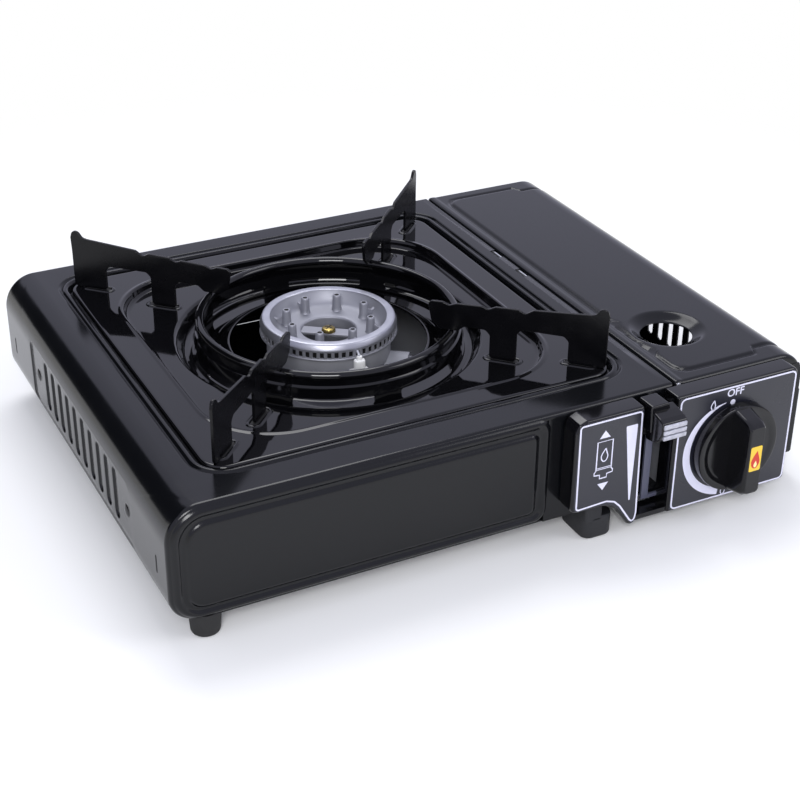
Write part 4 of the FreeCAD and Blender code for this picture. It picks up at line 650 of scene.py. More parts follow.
def build_case_ends(context):
    """Front and back plates, each with a bead that follows the case and a raised panel."""
    group = sizes(context)
    half, top = group.body_width / MM / 2, group.top_height / MM
    radius = 13.8
    corner = []
    for degrees in range(0, 33, 4):
        angle = math.radians(degrees)
        corner.append((half - 15 + radius * math.cos(angle), top - radius + radius * math.sin(angle)))
    for name, face, towards, right, slot_hole in (
        ("front", FRONT, -1, 22.5, True),
        ("back", BACK, 1, 86.5, False),
    ):
        outline = [(right - 3, WALL_BOTTOM), (half - 1.2, WALL_BOTTOM)] + corner
        outline += [(96.5, 66), (96.5, top - 2.2), (right - 3, top - 2.2)]
        outlines = [outline]
        if slot_hole:
            outlines.append([(79.3, 12.9 + 3), (86.3, 12.9 + 3), (86.3, 66), (79.3, 66)])
        flat = front_plate(outlines, sorted((face - towards * 0.8, face + towards * 0.02)), 0.2)
        parts = end_face(group, right, face, towards) + [flat]
        dress(
            f"{name}_plate_pressing", join(*parts), finish(context, "baked_black_paint"),
            replaces=[f"{name}_plate"]
        )


# Across, with each foot's height under the wall or the trough, and along
FOOT_X = ((-153.4, 12.5), (127.5, 1.6))
FOOT_Y = (-107.5, 138.0)
SCREW_Y = (-58.0, 87.4)
SCREW_Z = 40


def build_feet(context):
    """Rubber feet, the moulded foot at the front, and the screws in the walls."""
    parts = []
    places = [(x, y, high) for x, high in FOOT_X for y in FOOT_Y]
    for x, y, high in places:
        bulge = 0.8 if high > 5 else 0.2
        edge = min(1.2, high / 3)
        profile = [
            (0.01, 0), (7 - edge, 0), (7 - edge * 0.3, edge * 0.3), (7, edge), (7 + bulge, high), (0.01, high)
        ]
        parts.append(lathe(profile, (x, y), 48))
    dress(
        "rubber_foot_set", join(*parts), finish(context, "moulded_rubber"), replaces=["rubber_feet"],
    )
    foot = join(
        block((39, 56), (-124, -100), (0, WALL_BOTTOM), 1.2, 5),
        block((39, 49), (-124, FRONT - 0.1), (10, 19), 0.9, 1.4),
    )
    dress(
        "moulded_front_foot", foot, finish(context, "grained_black_polypropylene"), replaces=["front_foot"],
    )
    dome = [
        (0.01, 0.95), (1.2, 0.9), (2.4, 0.65), (3.4, 0.2), (4.0, -0.35), (4.2, -0.7), (4.5, -0.75),
        (5.4, -0.5), (5.9, 0.02), (6.3, 0.06), (6.6, -0.02),
    ]
    heads = []
    for y in SCREW_Y:
        for x, turn in ((-171.2, FACING_LEFT), (172.0, Matrix.Rotation(math.radians(90), 3, "Y"))):
            heads.append(moved(lathe(dome, segments=32), (x, y, SCREW_Z), turn))
    dress(
        "wall_screw_heads", join(*heads), finish(context, "moulded_black_abs"), replaces=["wall_screws"],
    )


# Lid over the cartridge bay

LID_LEFT = 94.0
HINGE_HEIGHT = 70.5
HINGE_ROLL = 2.0
LID_FLAT = 157.0
LID_SHOULDER = 15.0
LID_END_ROUND = 2.2
DISH = (122.0, -64.8)


def smooth_step(low, high, value):
    """0 below low, 1 above high, with an even rise between them."""
    t = min(max((value - low) / (high - low), 0), 1)
    return t * t * (3 - 2 * t)


def lid_relief(x, y, radius=8.0):
    """Depth of the pressed line and of the lower border outside it."""
    jog = smooth_step(146.5, 150.0, x)
    left = x - 100.0
    near = y + 106.5 - 5.5 * jog
    far = 137.0 - 5.5 * jog - y
    end = min(near, far)
    if left < radius and end < radius:
        inside = radius - math.hypot(radius - left, radius - end)
    else:
        inside = min(left, end)
    line = 0.85 * math.exp(-((inside / 1.15) ** 2))
    return line + 0.35 * (1 - smooth_step(-1.2, 1.2, inside))


def lid_rows():
    """Where the lid's grid lines run: fine along the pressed line, even across the finger dish."""
    y_front, y_back = FRONT + 0.4 + LID_END_ROUND, BACK - LID_END_ROUND
    window = (DISH[1] - 22.0, DISH[1] + 22.0)
    rows = [y_front + 0.6 * k for k in range(28)] + [-92.0]
    rows += [window[0] + (window[1] - window[0]) * k / 20 for k in range(21)]
    rows += [-30.0, 0.0, 30.0, 60.0, 90.0, 115.0]
    rows += [y_back - 0.6 * k for k in range(27, -1, -1)]
    return rows, window


def lid_columns():
    """Points (x, z, normal x, normal z) from the rolled hinge edge over the flat and down the shoulder."""
    columns = []
    for step in range(9):
        angle = math.radians(200 - 110 * step / 8)
        c, s = math.cos(angle), math.sin(angle)
        columns.append((LID_LEFT + HINGE_ROLL * c, HINGE_HEIGHT + HINGE_ROLL * s, c, s))
    columns += [(95.0 + 0.5 * k, TOP, 0.0, 1.0) for k in range(17)]
    columns += [(103.0 + 40.5 * k / 16, TOP, 0.0, 1.0) for k in range(1, 17)]
    columns += [(144.5 + 0.6 * k, TOP, 0.0, 1.0) for k in range(21)]
    for step in range(15):
        angle = math.radians(90 - 90 * step / 14)
        c, s = math.cos(angle), math.sin(angle)
        columns.append((LID_FLAT + LID_SHOULDER * c, TOP - LID_SHOULDER + LID_SHOULDER * s, c, s))
    columns.append((172.0, 50.0, 1.0, 0.0))
    return columns


def lid_point(column, y):
    """A point of the lid's top surface with the pressed relief in it."""
    x, z, nx, nz = column
    depth = 0.0
    if x > 95:
        depth = lid_relief(min(x, 160.0), y) * smooth_step(50.0, 60.0, z) * smooth_step(95.0, 97.5, x)
    return (x - nx * depth, y, z - nz * depth)


# Radius and depth, from the flat down the finger dish and round its turned-in hole
FINGER_DISH = (
    (20.8, 0.0), (20.0, 0.1), (19.2, 0.4), (18.0, 1.1), (16.6, 2.0), (15.2, 2.75), (14.4, 3.05), (13.8, 3.3),
    (13.5, 3.7), (13.7, 4.1), (14.2, 4.2),
)


def build_lid(context):
    """The bent lid with its rolled hinge edge, pressed line, finger hole and end skirts."""
    rows, window_y = lid_rows()
    columns = lid_columns()
    grid = [[lid_point(column, y) for column in columns] for y in rows]
    bottom, top = rows.index(window_y[0]), rows.index(window_y[1])
    left = next(i for i, c in enumerate(columns) if c[0] >= 98.0)
    right = next(i for i, c in enumerate(columns) if c[0] >= 143.4)
    wide = len(columns) - 1
    vertices, faces = bridge(grid, closed=False)
    kept = [f for n, f in enumerate(faces) if not (bottom <= n // wide < top and left <= n % wide < right)]
    border = [grid[bottom][c] for c in range(left, right)]
    border += [grid[r][right] for r in range(bottom, top)]
    border += [grid[top][c] for c in range(right, left, -1)]
    border += [grid[r][left] for r in range(top, bottom, -1)]
    loops = [border]
    for share in (0.3, 0.6, 0.85):
        rim = round_loop(border, FINGER_DISH[0][0], 0, DISH)
        loop = [Vector(b).lerp(Vector((r[0], r[1], TOP)), share) for b, r in zip(border, rim)]
        loops.append([(x, y, TOP - lid_relief(x, y)) for x, y, _ in loop])
    for radius, depth in FINGER_DISH:
        flat = round_loop(border, radius, 0, DISH)
        loops.append([(x, y, TOP - depth - lid_relief(x, y) * (radius > 19)) for x, y, _ in flat])
    parts = [(vertices, kept), bridge(loops)]
    for y, face, towards in ((rows[0], FRONT + 0.4, -1), (rows[-1], BACK, 1)):
        line = []
        for column in columns:
            x, _, z = lid_point(column, y)
            line.append((x, z, column[2], column[3]))
        parts.append(turned_down(line, face, LID_END_ROUND, towards))
        skirt = [c for c in line if c[0] > 97]
        inner = [[(x - nx * d, face, z - nz * d) for x, z, nx, nz in skirt] for d in (LID_END_ROUND, 6.0)]
        parts.append(bridge(inner, closed=False))
    piece = dress(
        "lid_pressing", join(*parts), finish(context, "baked_black_paint"), "lid", ["lid"]
    )
    thicken(piece, 0.8)


def thicken(piece, sheet):
    """Gives a sheet piece its thickness towards its inside."""
    skin = piece.modifiers.new("sheet_thickness", "SOLIDIFY")
    skin.thickness = sheet * MM
    skin.offset = -1
    piece.modifiers.move(piece.modifiers.find(skin.name), 0)


# Cooking top

TRAY = (
    (108.0, 12.0, 67.0), (108.0, 12.0, 70.3), (107.85, 11.9, 70.95), (107.4, 11.6, 71.45),
    (106.8, 11.2, 71.7),
    (106.0, 11.0, 71.7), (94.6, 39.5, 71.7), (94.0, 39.8, 71.8), (93.4, 39.8, 72.1), (92.8, 39.8, 72.2),
    (92.2, 39.6, 72.0), (91.8, 39.4, 71.5), (91.5, 39.2, 70.6), (91.2, 39.0, 69.2), (90.8, 38.8, 68.2),
    (90.1, 38.4, 67.65), (89.2, 38.0, 67.5), (88.2, 37.5, 67.5),
)
# Radius and height, from the basin down the dish and up to the turned collar round the burner
TRAY_DISH = (
    (81.0, 67.5), (80.2, 67.4), (79.4, 66.9), (78.6, 65.9), (76.4, 61.4), (75.6, 60.3), (74.6, 59.8),
    (61.0, 59.8),
    (60.0, 60.0), (59.0, 60.6), (54.2, 64.0), (53.2, 64.6), (52.5, 64.8), (51.8, 64.6), (51.5, 63.8),
)
DIAGONALS = (45, 135, 225, 315)


def about_burner(part, degrees):
    """Turns a part drawn round the origin and sets it round the burner."""
    return moved(part, (*BURNER, 0), Matrix.Rotation(math.radians(degrees), 3, "Z"))


def leg_seat(low, high, half_width, z):
    """A pressed lip round the slot that a pan support stands in, and a near-black cap in the slot that is
    painted shade.
    """
    loops = []
    for inset, rise in (
        (-1.4, -0.1), (-1.0, 0.25), (-0.5, 0.6), (0.1, 0.7), (0.6, 0.5), (1.0, 0.1), (1.2, -0.4)
    ):
        x, y = (low + inset, high - inset), (-half_width + inset, half_width - inset)
        loops.append(rounded_loop(x, y, max(half_width - inset - 0.05, 0.1), z + rise, 6, 4))
    # The cap laid just above the slot's floor is painted shade inside the slot
    return bridge(loops), cap([(x, y, z + 0.08) for x, y, _ in loops[-2]])


def build_drip_tray(context):
    """The enamelled drip tray: flange, basin, round dish, collar and the seats of the pan supports."""
    loops = [square_loop(reach, radius, z) for reach, radius, z in TRAY]
    loops += [round_loop(loops[0], radius, z) for radius, z in TRAY_DISH]
    lips, slot_shades = [], []
    for degrees in DIAGONALS:
        for low, high, half, z in ((85.0, 103.5, 3.0, 67.5), (124.6, 141.5, 2.6, 71.7)):
            lip, slot_shade = leg_seat(low, high, half, z)
            lips.append(about_burner(lip, degrees))
            slot_shades.append(about_burner(slot_shade, degrees))
    material = finish(context, "fired_black_enamel")
    tray = dress(
        "drip_tray_pressing", bridge(loops), material, "cooking_top", ["drip_tray"]
    )
    thicken(tray, 0.6)
    dress("tray_slot_lips", join(*lips), material, "cooking_top")
    dress("tray_slots", join(*slot_shades), finish(context, "shadowed_steel"), "cooking_top")


RING_ROLL = 2.3
RING_FLARE = 3.4
WINDOW_WIDTH = 40.0
WINDOW_Z = (61.6, 66.6)


def on_band(angle, z, radius):
    """A point at an angle round the burner's axis."""
    return (BURNER[0] + radius * math.cos(angle), BURNER[1] + radius * math.sin(angle), z)


def build_pan_ring(context):
    """The pan ring: rolled rim, pierced band and foot flange."""
    edge = sizes(context).ring_radius / MM
    roll = RING_ROLL
    rim = []
    for step in range(19):
        angle = math.radians(-120 + 330 * step / 18)
        rim.append((edge - roll + roll * math.cos(angle), 80 - roll + roll * math.sin(angle)))
    top, foot_z = 76.2, 60.6

    def band(height, depth):
        """Radius of the flared band's outer or inner face at a height."""
        return edge - 1.2 - depth + RING_FLARE * smooth_step(0, 1, (top - height) / (top - foot_z))

    foot = [
        (band(foot_z, 0), foot_z), (band(foot_z, 0) + 0.3, 60.15), (band(foot_z, 0) + 1.2, 59.95),
        (band(foot_z, 0) + 2.2, 59.9), (band(foot_z, 0) + 2.2, 59.4),
    ]
    step_line = [(edge - 0.6, 72.9), (edge - 0.1, 72.3), (edge + 0.35, 72.0), (edge + 0.4, 71.6)]
    parts = [lathe(rim, BURNER, 160), lathe(foot, BURNER, 160), lathe(step_line, BURNER, 160)]
    for index in range(8):
        middle = math.radians(22.5 + 45 * index)
        half = math.radians(22.5) * edge
        frame_loop = rounded_loop((-half, half), (foot_z, top), 0.01, 0, 6, 16)
        window = rounded_loop((-WINDOW_WIDTH / 2, WINDOW_WIDTH / 2), WINDOW_Z, 1.6, 0, 6, 16)
        between = [tuple(Vector(a).lerp(Vector(b), 0.5)) for a, b in zip(frame_loop, window)]
        faces = []
        for depth in (0, 1.2):
            faces.append([[on_band(middle + x / edge, z, band(z, depth)) for x, z, _ in loop]
                          for loop in (frame_loop, between, window)])
        parts += [bridge(faces[0]), bridge([faces[0][2], faces[1][2]]), bridge(faces[1])]
    dress(
        "pan_ring_pressing", join(*parts), finish(context, "fired_black_enamel"), "cooking_top", ["pan_ring"],
    )


def support_outline():
    """A pan support from the side: distance from the burner's axis and height."""
    reach, high, leg, seat = 147.0, 104.2, 87.0, 80.0
    return [
        (reach, 71.7), (reach, high - 12), (reach + 0.3, high - 4), (reach - 0.6, high - 1),
        (reach - 2.6, high), (reach - 4.6, high - 0.8), (reach - 6.6, high - 3.6), (reach - 9, high - 4.2),
        (leg + 22.2, high - 6.3),
        (leg + 17.9, high - 9.1), (leg + 14.4, high - 7.2), (leg + 2.6, high - 7.6), (leg - 1.4, high - 9.7),
        (leg - 4.5, high - 8.3), (leg - 17.6, high - 8.9), (leg - 21.9, high - 10.5), (leg - 25, high - 9),
        (leg - 31, high - 9.2), (leg - 32.8, high - 10.8), (leg - 31, seat + 4), (leg - 26.5, seat),
        (70, seat), (73.5, seat + 3), (leg - 2.5, seat + 3), (leg, seat + 0.5), (leg, 67.5), (leg + 14, 67.5),
        (leg + 14, seat + 3.5), (leg + 16.5, seat + 6), (reach - 22, seat + 6), (reach - 19.5, seat + 3.5),
        (reach - 19.5, 71.7),
    ]


def build_pan_supports(context):
    """The four pan supports, blanked from sheet, standing in the tray and hooked on the ring."""
    sheet = sizes(context).support_sheet / MM
    blank = moved(plate([soften(support_outline(), 2.2)], sheet, 0.35), turn=FACING_FRONT)
    parts = [about_burner(blank, degrees) for degrees in DIAGONALS]
    names = sorted(n for n in frame["nodes"] if n.startswith("pan_support"))
    dress(
        "pan_support_blanks", join(*parts), finish(context, "satin_black_enamel"), "cooking_top", names,
    )


# Burner

def build_burner(context):
    """The burner head with its ports and posts, the screw in its bridge and the ceramic electrode."""
    group = sizes(context)
    edge = group.head_radius / MM
    cast, machined = finish(context, "blasted_cast_aluminium"), finish(context, "machined_cast_aluminium")
    rim = [
        (edge, 73.9), (edge + 0.15, 74.1), (edge + 0.15, 74.5), (edge - 0.1, 75.2), (edge - 0.8, 77.0),
        (edge - 1.3, 77.5), (edge - 2.0, 77.7), (31.0, 77.8), (30.5, 77.7), (30.2, 77.3),
    ]
    dress(
        "burner_head_rim", lathe(rim, BURNER, 128), machined, replaces=["burner_head"]
    )
    dish = [
        (30.2, 77.2), (29.9, 76.2), (28.6, 73.2), (27.2, 71.2), (25.6, 70.3), (23.0, 69.9), (17.0, 69.6),
        (15.2, 69.5), (14.5, 69.0), (14.2, 68.2), (14.1, 62.0),
    ]
    parts = [
        lathe(dish, BURNER, 128),
        lathe(
            [(edge, 70.0), (edge + 0.3, 69.6), (edge + 0.3, 69.2), (edge - 0.4, 68.8), (33.2, 68.5)],
            BURNER,
            128,
        ),
    ]
    # Near-black caps deep in the flame ports and in the tops of the posts: painted shade inside the holes
    dark = []
    step = 2 * math.pi / group.port_count
    for index in range(group.port_count):
        loops = []
        flat = [rounded_loop((-step / 2 * edge, step / 2 * edge), (70.0, 73.9), 0.01, 0, 3, 1)]
        depths = [0.0]
        for inset, depth in ((-0.12, 0.0), (0.0, 0.12), (0.05, 0.5), (0.15, 2.4)):
            flat.append(
                rounded_loop((-1.0 + inset, 1.0 - inset), (70.5 + inset, 73.5 - inset), 0.25, 0, 3, 1)
            )
            depths.append(depth)
        for points, depth in zip(flat, depths):
            angles = [(index * step + x / edge, z) for x, z, _ in points]
            reach = edge - depth
            loops.append(
                [(BURNER[0] + reach * math.cos(a), BURNER[1] + reach * math.sin(a), z) for a, z in angles]
            )
        parts.append(bridge(loops[:-1]))
        dark.append(join(bridge(loops[-2:]), cap(loops[-1])))
    post = [
        (3.0, 69.6), (2.6, 70.4), (2.4, 72.0), (2.15, 77.4), (2.0, 78.2), (1.7, 78.5), (1.25, 78.5),
        (1.0, 78.2), (0.95, 76.0),
    ]
    for index in range(8):
        angle = math.radians(9 + 45 * index)
        place = (BURNER[0] + 22.3 * math.cos(angle), BURNER[1] + 22.3 * math.sin(angle))
        parts.append(lathe(post, place, 28))
        dark.append(lathe([(1.18, 78.42), (1.0, 78.2), (0.01, 78.1)], place, 28))
        rib = [
            (22.3, 69.0), (29.6, 69.0), (29.6, 74.2), (27.0, 73.0), (24.6, 74.6), (23.4, 77.2), (22.3, 77.4)
        ]
        web = moved(plate([soften(rib, 0.5, 3)], 1.7, 0.4), turn=FACING_FRONT)
        parts.append(about_burner(web, 9 + 45 * index))
    bridge_bar = block((-14.3, 14.3), (-3.6, 3.6), (66.6, 68.2), 0.4)
    parts.append(moved(bridge_bar, (*BURNER, 0), Matrix.Rotation(-0.62, 3, "Z")))
    dress("burner_head_casting", join(*parts), cast, sharp=40)
    dress("burner_port_shadows", join(*dark), finish(context, "shadowed_steel"))
    head = [(3.7, 68.2), (3.6, 69.4), (3.2, 70.0), (2.4, 70.3), (0.01, 70.4)]
    # Near-black bars in the shape of the screw's cross recess, standing on the head: painted shade of the
    # recess
    slots = []
    for turn in (0.6, 0.6 + math.pi / 2):
        bar = block((-2.2, 2.2), (-0.35, 0.35), (70.1, 70.45), 0.1)
        slots.append(moved(bar, (*BURNER, 0), Matrix.Rotation(turn, 3, "Z")))
    dress(
        "burner_screw_head", lathe(head, BURNER, 40), finish(context, "turned_brass"),
        replaces=["burner_screw"]
    )
    dress("burner_screw_cross", join(*slots), finish(context, "shadowed_steel"))
    insulator = join(
        block((-39.8, -29.6), (-25.0, -19.0), (50.0, 64.4), 0.7, 1.6),
        block((-37.6, -31.8), (-24.2, -19.6), (63.0, 70.0), 0.8, 1.8),
        block((-36.2, -33.2), (-23.2, -20.6), (69.2, 72.2), 0.7, 1.2),
    )
    dress(
        "electrode_sleeve", insulator, finish(context, "glazed_alumina"), replaces=["electrode_insulator"],
    )


# Controls

HOUSING_FACE = -128.2


def ribbon(outline, width, y):
    """A printed line of even width along a closed front-view outline."""
    count = len(outline)
    inner, outer = [], []
    for index in range(count):
        here = Vector(outline[index])
        along = (Vector(outline[(index + 1) % count]) - Vector(outline[index - 1])).normalized()
        side = Vector((-along.y, along.x)) * width / 2
        inner.append((here.x - side.x, y, here.y - side.y))
        outer.append((here.x + side.x, y, here.y + side.y))
    return bridge([outer, inner])


def inset_outline(outline, distance):
    """A closed outline moved inwards (or outwards when it runs the other way round)."""
    result = []
    count = len(outline)
    for index in range(count):
        along = (Vector(outline[(index + 1) % count]) - Vector(outline[index - 1])).normalized()
        result.append((outline[index][0] - along.y * distance, outline[index][1] + along.x * distance))
    return result


def anticlockwise(outline):
    """The same closed outline, run anticlockwise."""
    area = sum(a[0] * b[1] - b[0] * a[1] for a, b in zip(outline, outline[1:] + outline[:1]))
    return outline if area > 0 else outline[::-1]


def printed(outline, y):
    """A printed area in the front view, at a depth."""
    return cap([(x, y, z) for x, z in outline])


def lettering(text, height, middle, y):
    """Printed letters, centred on a point of the front."""
    curve = bpy.data.curves.new("letters", "FONT")
    curve.body = text
    curve.size = height * 1.38 * MM
    curve.align_x = "CENTER"
    curve.align_y = "CENTER"
    curve.offset = 0.0001
    return moved(curve_part(curve), (middle[0], y, middle[1]), FACING_FRONT)


LABEL = anticlockwise([
    (33.5, 71.9), (29.5, 70.2), (27.5, 65.9), (27.5, 24.1), (28.5, 21.6), (31, 20.6), (44.5, 20.6),
    (50, 19.4), (54, 16.1), (58, 10.6), (61.7, 5.6), (63.9, 4.6), (65.9, 6), (66.5, 8.2), (66.5, 71.9),
])
LABEL_LINE = anticlockwise([
    (29.7, 69.7), (64.2, 69.9), (65.6, 12.0), (65.0, 8.6), (63.7, 7.3), (62.2, 8.6), (55.6, 18.6),
    (52.2, 22.0), (47.4, 23.6), (30.1, 22.8),
])
KNOB = (120.5, 37.6)


def crescent(first, last, inner, widest, thinnest):
    """The dial's opening scale, which grows round the knob; angles run anticlockwise from +X."""
    near, far = [], []
    for step in range(49):
        t = step / 48
        angle = math.radians(first + (last - first) * t)
        c, s = math.cos(angle), math.sin(angle)
        reach = inner + thinnest + (widest - thinnest) * math.sin(min(t * 1.9, 1) * math.pi / 2)
        near.append((KNOB[0] + inner * c, KNOB[1] + inner * s))
        far.append((KNOB[0] + reach * c, KNOB[1] + reach * s))
    return near, far


def build_controls(context):
    """The control housing, its two printed face plates and their plain marks."""
    glossy = finish(context, "moulded_black_abs")
    film = finish(context, "printed_charcoal_face")
    ink = finish(context, "screen_printed_silver")
    panel = [(x, z) for x, z, _ in rounded_loop((84.8, 158.2), (5.7, 71.9), (3.5, 3.5, 1.2, 1.2), 0, 6, 2)]
    label = soften(LABEL, 1.8, 5)
    body = [
        front_plate([label], (HOUSING_FACE + 0.3, FRONT - 0.05), 1.6),
        front_plate([panel], (HOUSING_FACE + 0.3, FRONT - 0.05), 1.6),
        block((65.3, 91.0), (-126.5, FRONT - 0.05), (5.7, 8.7), 0.5),
    ]
    dress("control_housing_moulding", join(*body), glossy, replaces=["control_housing"])
    faces = [
        ("label_plate_film", "label_plate", inset_outline(label, 1.2)),
        ("knob_panel_film", "knob_panel", inset_outline(panel, 1.2)),
    ]
    for name, node, outline in faces:
        part = front_plate([outline], (HOUSING_FACE, HOUSING_FACE + 1.2), 0.2)
        dress(name, part, film, replaces=[node])

    y = HOUSING_FACE - 0.03
    line = sizes(context).print_line / MM
    marks = [
        ribbon(soften(LABEL_LINE, 1.6, 4), line, y),
        ribbon([(x, z) for x, z, _ in rounded_loop((87.0, 156.4), (7.5, 70.2), 2.6, 0, 6, 2)], line, y),
    ]
    near, far = crescent(104, 259, 25.2, 4.2, 0.3)
    marks.append(bridge([[(x, y, z) for x, z in near], [(x, y, z) for x, z in far]], closed=False))
    marks.append(printed(circle((118.3, 61.7), 1.5, 24), y))
    marks.append(lettering("OFF", 4.2, (119.4, 67.0), y))
    arrow = [(-3.1, -1.7), (3.1, -1.7), (0, 2.4)]
    for middle, turn in (((43.8, 62.2), 1), ((44.4, 33.4), -1)):
        marks.append(printed(anticlockwise([(middle[0] + x, middle[1] + turn * z) for x, z in arrow]), y))
    canister = [
        (-4.3, 9.3), (4.3, 9.3), (4.3, -6.6), (5.2, -7.6), (5.2, -9.0), (2.0, -9.4), (2.0, -11.4),
        (-2.0, -11.4), (-2.0, -9.4), (-5.2, -9.0), (-5.2, -7.6), (-4.3, -6.6),
    ]
    collar = ((-4.3, -6.2), (4.3, -6.2), (4.3, -5.4), (-4.3, -5.4))
    for outline, width in ((canister, 0.7), (collar, 0.4)):
        marks.append(ribbon([(44.2 + x, 49.4 + z) for x, z in outline], width, y))
    marks.append(ribbon(flame_outline((44.2, 50.4), 3.0, 0.62), 0.6, y))
    wedge = [(55.6, 63.7), (62.2, 63.7), (61.3, 20.6), (60.5, 20.6)]
    marks.append(printed(soften(wedge, 0.6, 3), y))
    for middle, tall in (((106.5, 62.2), 2.1), ((118.6, 10.0), 2.1)):
        marks.append(ribbon(flame_outline(middle, tall, 0.6), 0.55, y))
    dress("face_plate_print", join(*marks), ink)


def flame_outline(middle, tall, wide):
    """A plain flame: round below, bent tip above."""
    points = []
    for step in range(24):
        angle = 2 * math.pi * step / 24 - math.pi / 2
        rise = math.sin(angle)
        narrow = 1 - 0.75 * max(rise, 0) ** 1.2
        x = math.cos(angle) * wide * tall * narrow + 0.18 * tall * max(rise, 0) ** 2
        points.append((middle[0] + x, middle[1] + tall * (rise if rise < 0 else rise * 1.35)))
    return points


KNOB_BACK = -128.6
GRIP_HALF = 5.6
GRIP_HIGH = 19.0


def grip_taper(depth):
    """How much shorter the grip is, at each end, at a height above the disc."""
    return 0.4 + 2.2 * smooth_step(5, 16, depth) + 2.0 * smooth_step(15.5, 19, depth)


def build_knob(context):
    """The knob's disc and grip with its yellow sticker."""
    glossy = finish(context, "moulded_black_abs")
    edge = sizes(context).knob_radius / MM
    disc = [
        (edge - 0.9, 0), (edge, 0.8), (edge, 5.0), (edge - 0.35, 5.7), (edge - 1.0, 6.0), (edge - 3.2, 5.9),
        (edge - 4.2, 5.5), (edge - 5.6, 5.4), (0.01, 5.4),
    ]
    turned = moved(lathe(disc, segments=128), (KNOB[0], KNOB_BACK, KNOB[1]), FACING_FRONT)
    half = edge - 0.5
    outline = rounded_loop((-GRIP_HALF, GRIP_HALF), (-half, half), 2.4, 0, 8, 6)
    rings = []
    for inset, depth in (
        (-0.4, 5.0), (0, 5.6), (0.35, 12.0), (0.7, 16.4), (1.0, 18.2), (1.5, GRIP_HIGH - 0.1),
        (2.1, GRIP_HIGH)
    ):
        rings.append([
            (
                KNOB[0] + x * (GRIP_HALF - inset) / GRIP_HALF,
                KNOB_BACK - depth,
                KNOB[1] + z * (half - grip_taper(depth)) / half,
            )
            for x, z, _ in outline
        ])
    grip = join(bridge(rings), cap(rings[-1]))
    dress("knob_moulding", join(turned, grip), glossy, "knob", ["knob"])
    y = KNOB_BACK - GRIP_HIGH - 0.05
    face = [(x, z) for x, z, _ in rounded_loop((KNOB[0] - 3.4, KNOB[0] + 3.4), (31.9, 45.9), 0.8, 0, 5, 2)]
    dress(
        "knob_sticker_film", printed(face, y), finish(context, "yellow_vinyl"), "knob", ["knob_sticker"],
    )
    red = printed(flame_outline((KNOB[0], 37.6), 4.2, 0.62), y - 0.04)
    gap = printed(flame_outline((KNOB[0] + 0.1, 35.6), 1.6, 0.6), y - 0.07)
    dress("knob_sticker_flame", red, finish(context, "red_vinyl"), "knob")
    dress("knob_sticker_core", gap, finish(context, "pale_vinyl"), "knob")


def build_lever(context):
    """The lock lever's handle, with its pale grooved nose."""
    front = anticlockwise([
        (67.4, 72.6), (77.6, 72.9), (80.2, 63.4), (84.0, 63.0), (84.2, 58.0), (81.6, 52.2), (71.6, 51.2),
        (68.0, 58.6),
    ])
    body = front_plate([soften(front, 1.3, 4)], (-131.0, -119.6), 0.8)
    side = soften(
        anticlockwise([
            (-126.0, 70.6), (-131.5, 69.6), (-136.5, 68.4), (-139.6, 67.2), (-139.8, 61.4), (-137.6, 57.4),
            (-133.0, 53.8), (-126.0, 52.6),
        ]), 1.4, 4,
    )
    upright = Matrix(((0, 0, 1), (1, 0, 0), (0, 1, 0)))
    nose = moved(plate([side], 14.4, 0.9), (75.6, 0, 0), upright)
    dress(
        "lever_handle_moulding", join(body, nose), finish(context, "moulded_black_abs"), "lever",
        ["lever_handle"],
    )
    ribs = []
    for z in (59.4, 62.3, 65.2):
        tilt = Matrix.Rotation(math.radians(7), 3, "X")
        rib = block((-6.6, 6.6), (-0.7, 0.7), (-1.25, 1.25), 0.5)
        ribs.append(moved(rib, (75.6, -139.75, z), tilt))
    dress(
        "lever_nose_ribs", join(*ribs), finish(context, "scuffed_silver_foil"), "lever"
    )


def build_inner_parts(context):
    """Gives every CAD piece that stays visible the finish of its material slot."""
    finishes = {
        "black_paint": "baked_black_paint",
        "black_enamel": "fired_black_enamel",
        "zinc_plated_steel": "bright_zinc_plating",
        "cast_aluminium": "oxidised_cast_aluminium",
        "brass": "turned_brass",
        "black_plastic": "moulded_black_abs",
        "matte_black_plastic": "grained_black_polypropylene",
        "grey_plastic": "moulded_grey_abs",
        "face_plate": "printed_charcoal_face",
        "rubber": "moulded_rubber",
        "lead_sleeve": "silicone_sleeve",
        "ceramic": "glazed_alumina",
        "sticker": "printed_charcoal_face",
    }
    for part in frame["record"]["subparts"]:
        node = frame["nodes"][part["node"]]
        node.data.materials.clear()
        node.data.materials.append(finish(context, finishes[part["material_slot"]]))


# Stage

FLOOR_HALF = 4.0
FLOOR_Z = -0.0004
CAMERA_PLACE = (-0.3445, -0.6731, 0.4549)
CAMERA_AZIMUTH = math.radians(-27.08)
CAMERA_ELEVATION = math.radians(29.52)
CAMERA_ROLL = math.radians(0.56)


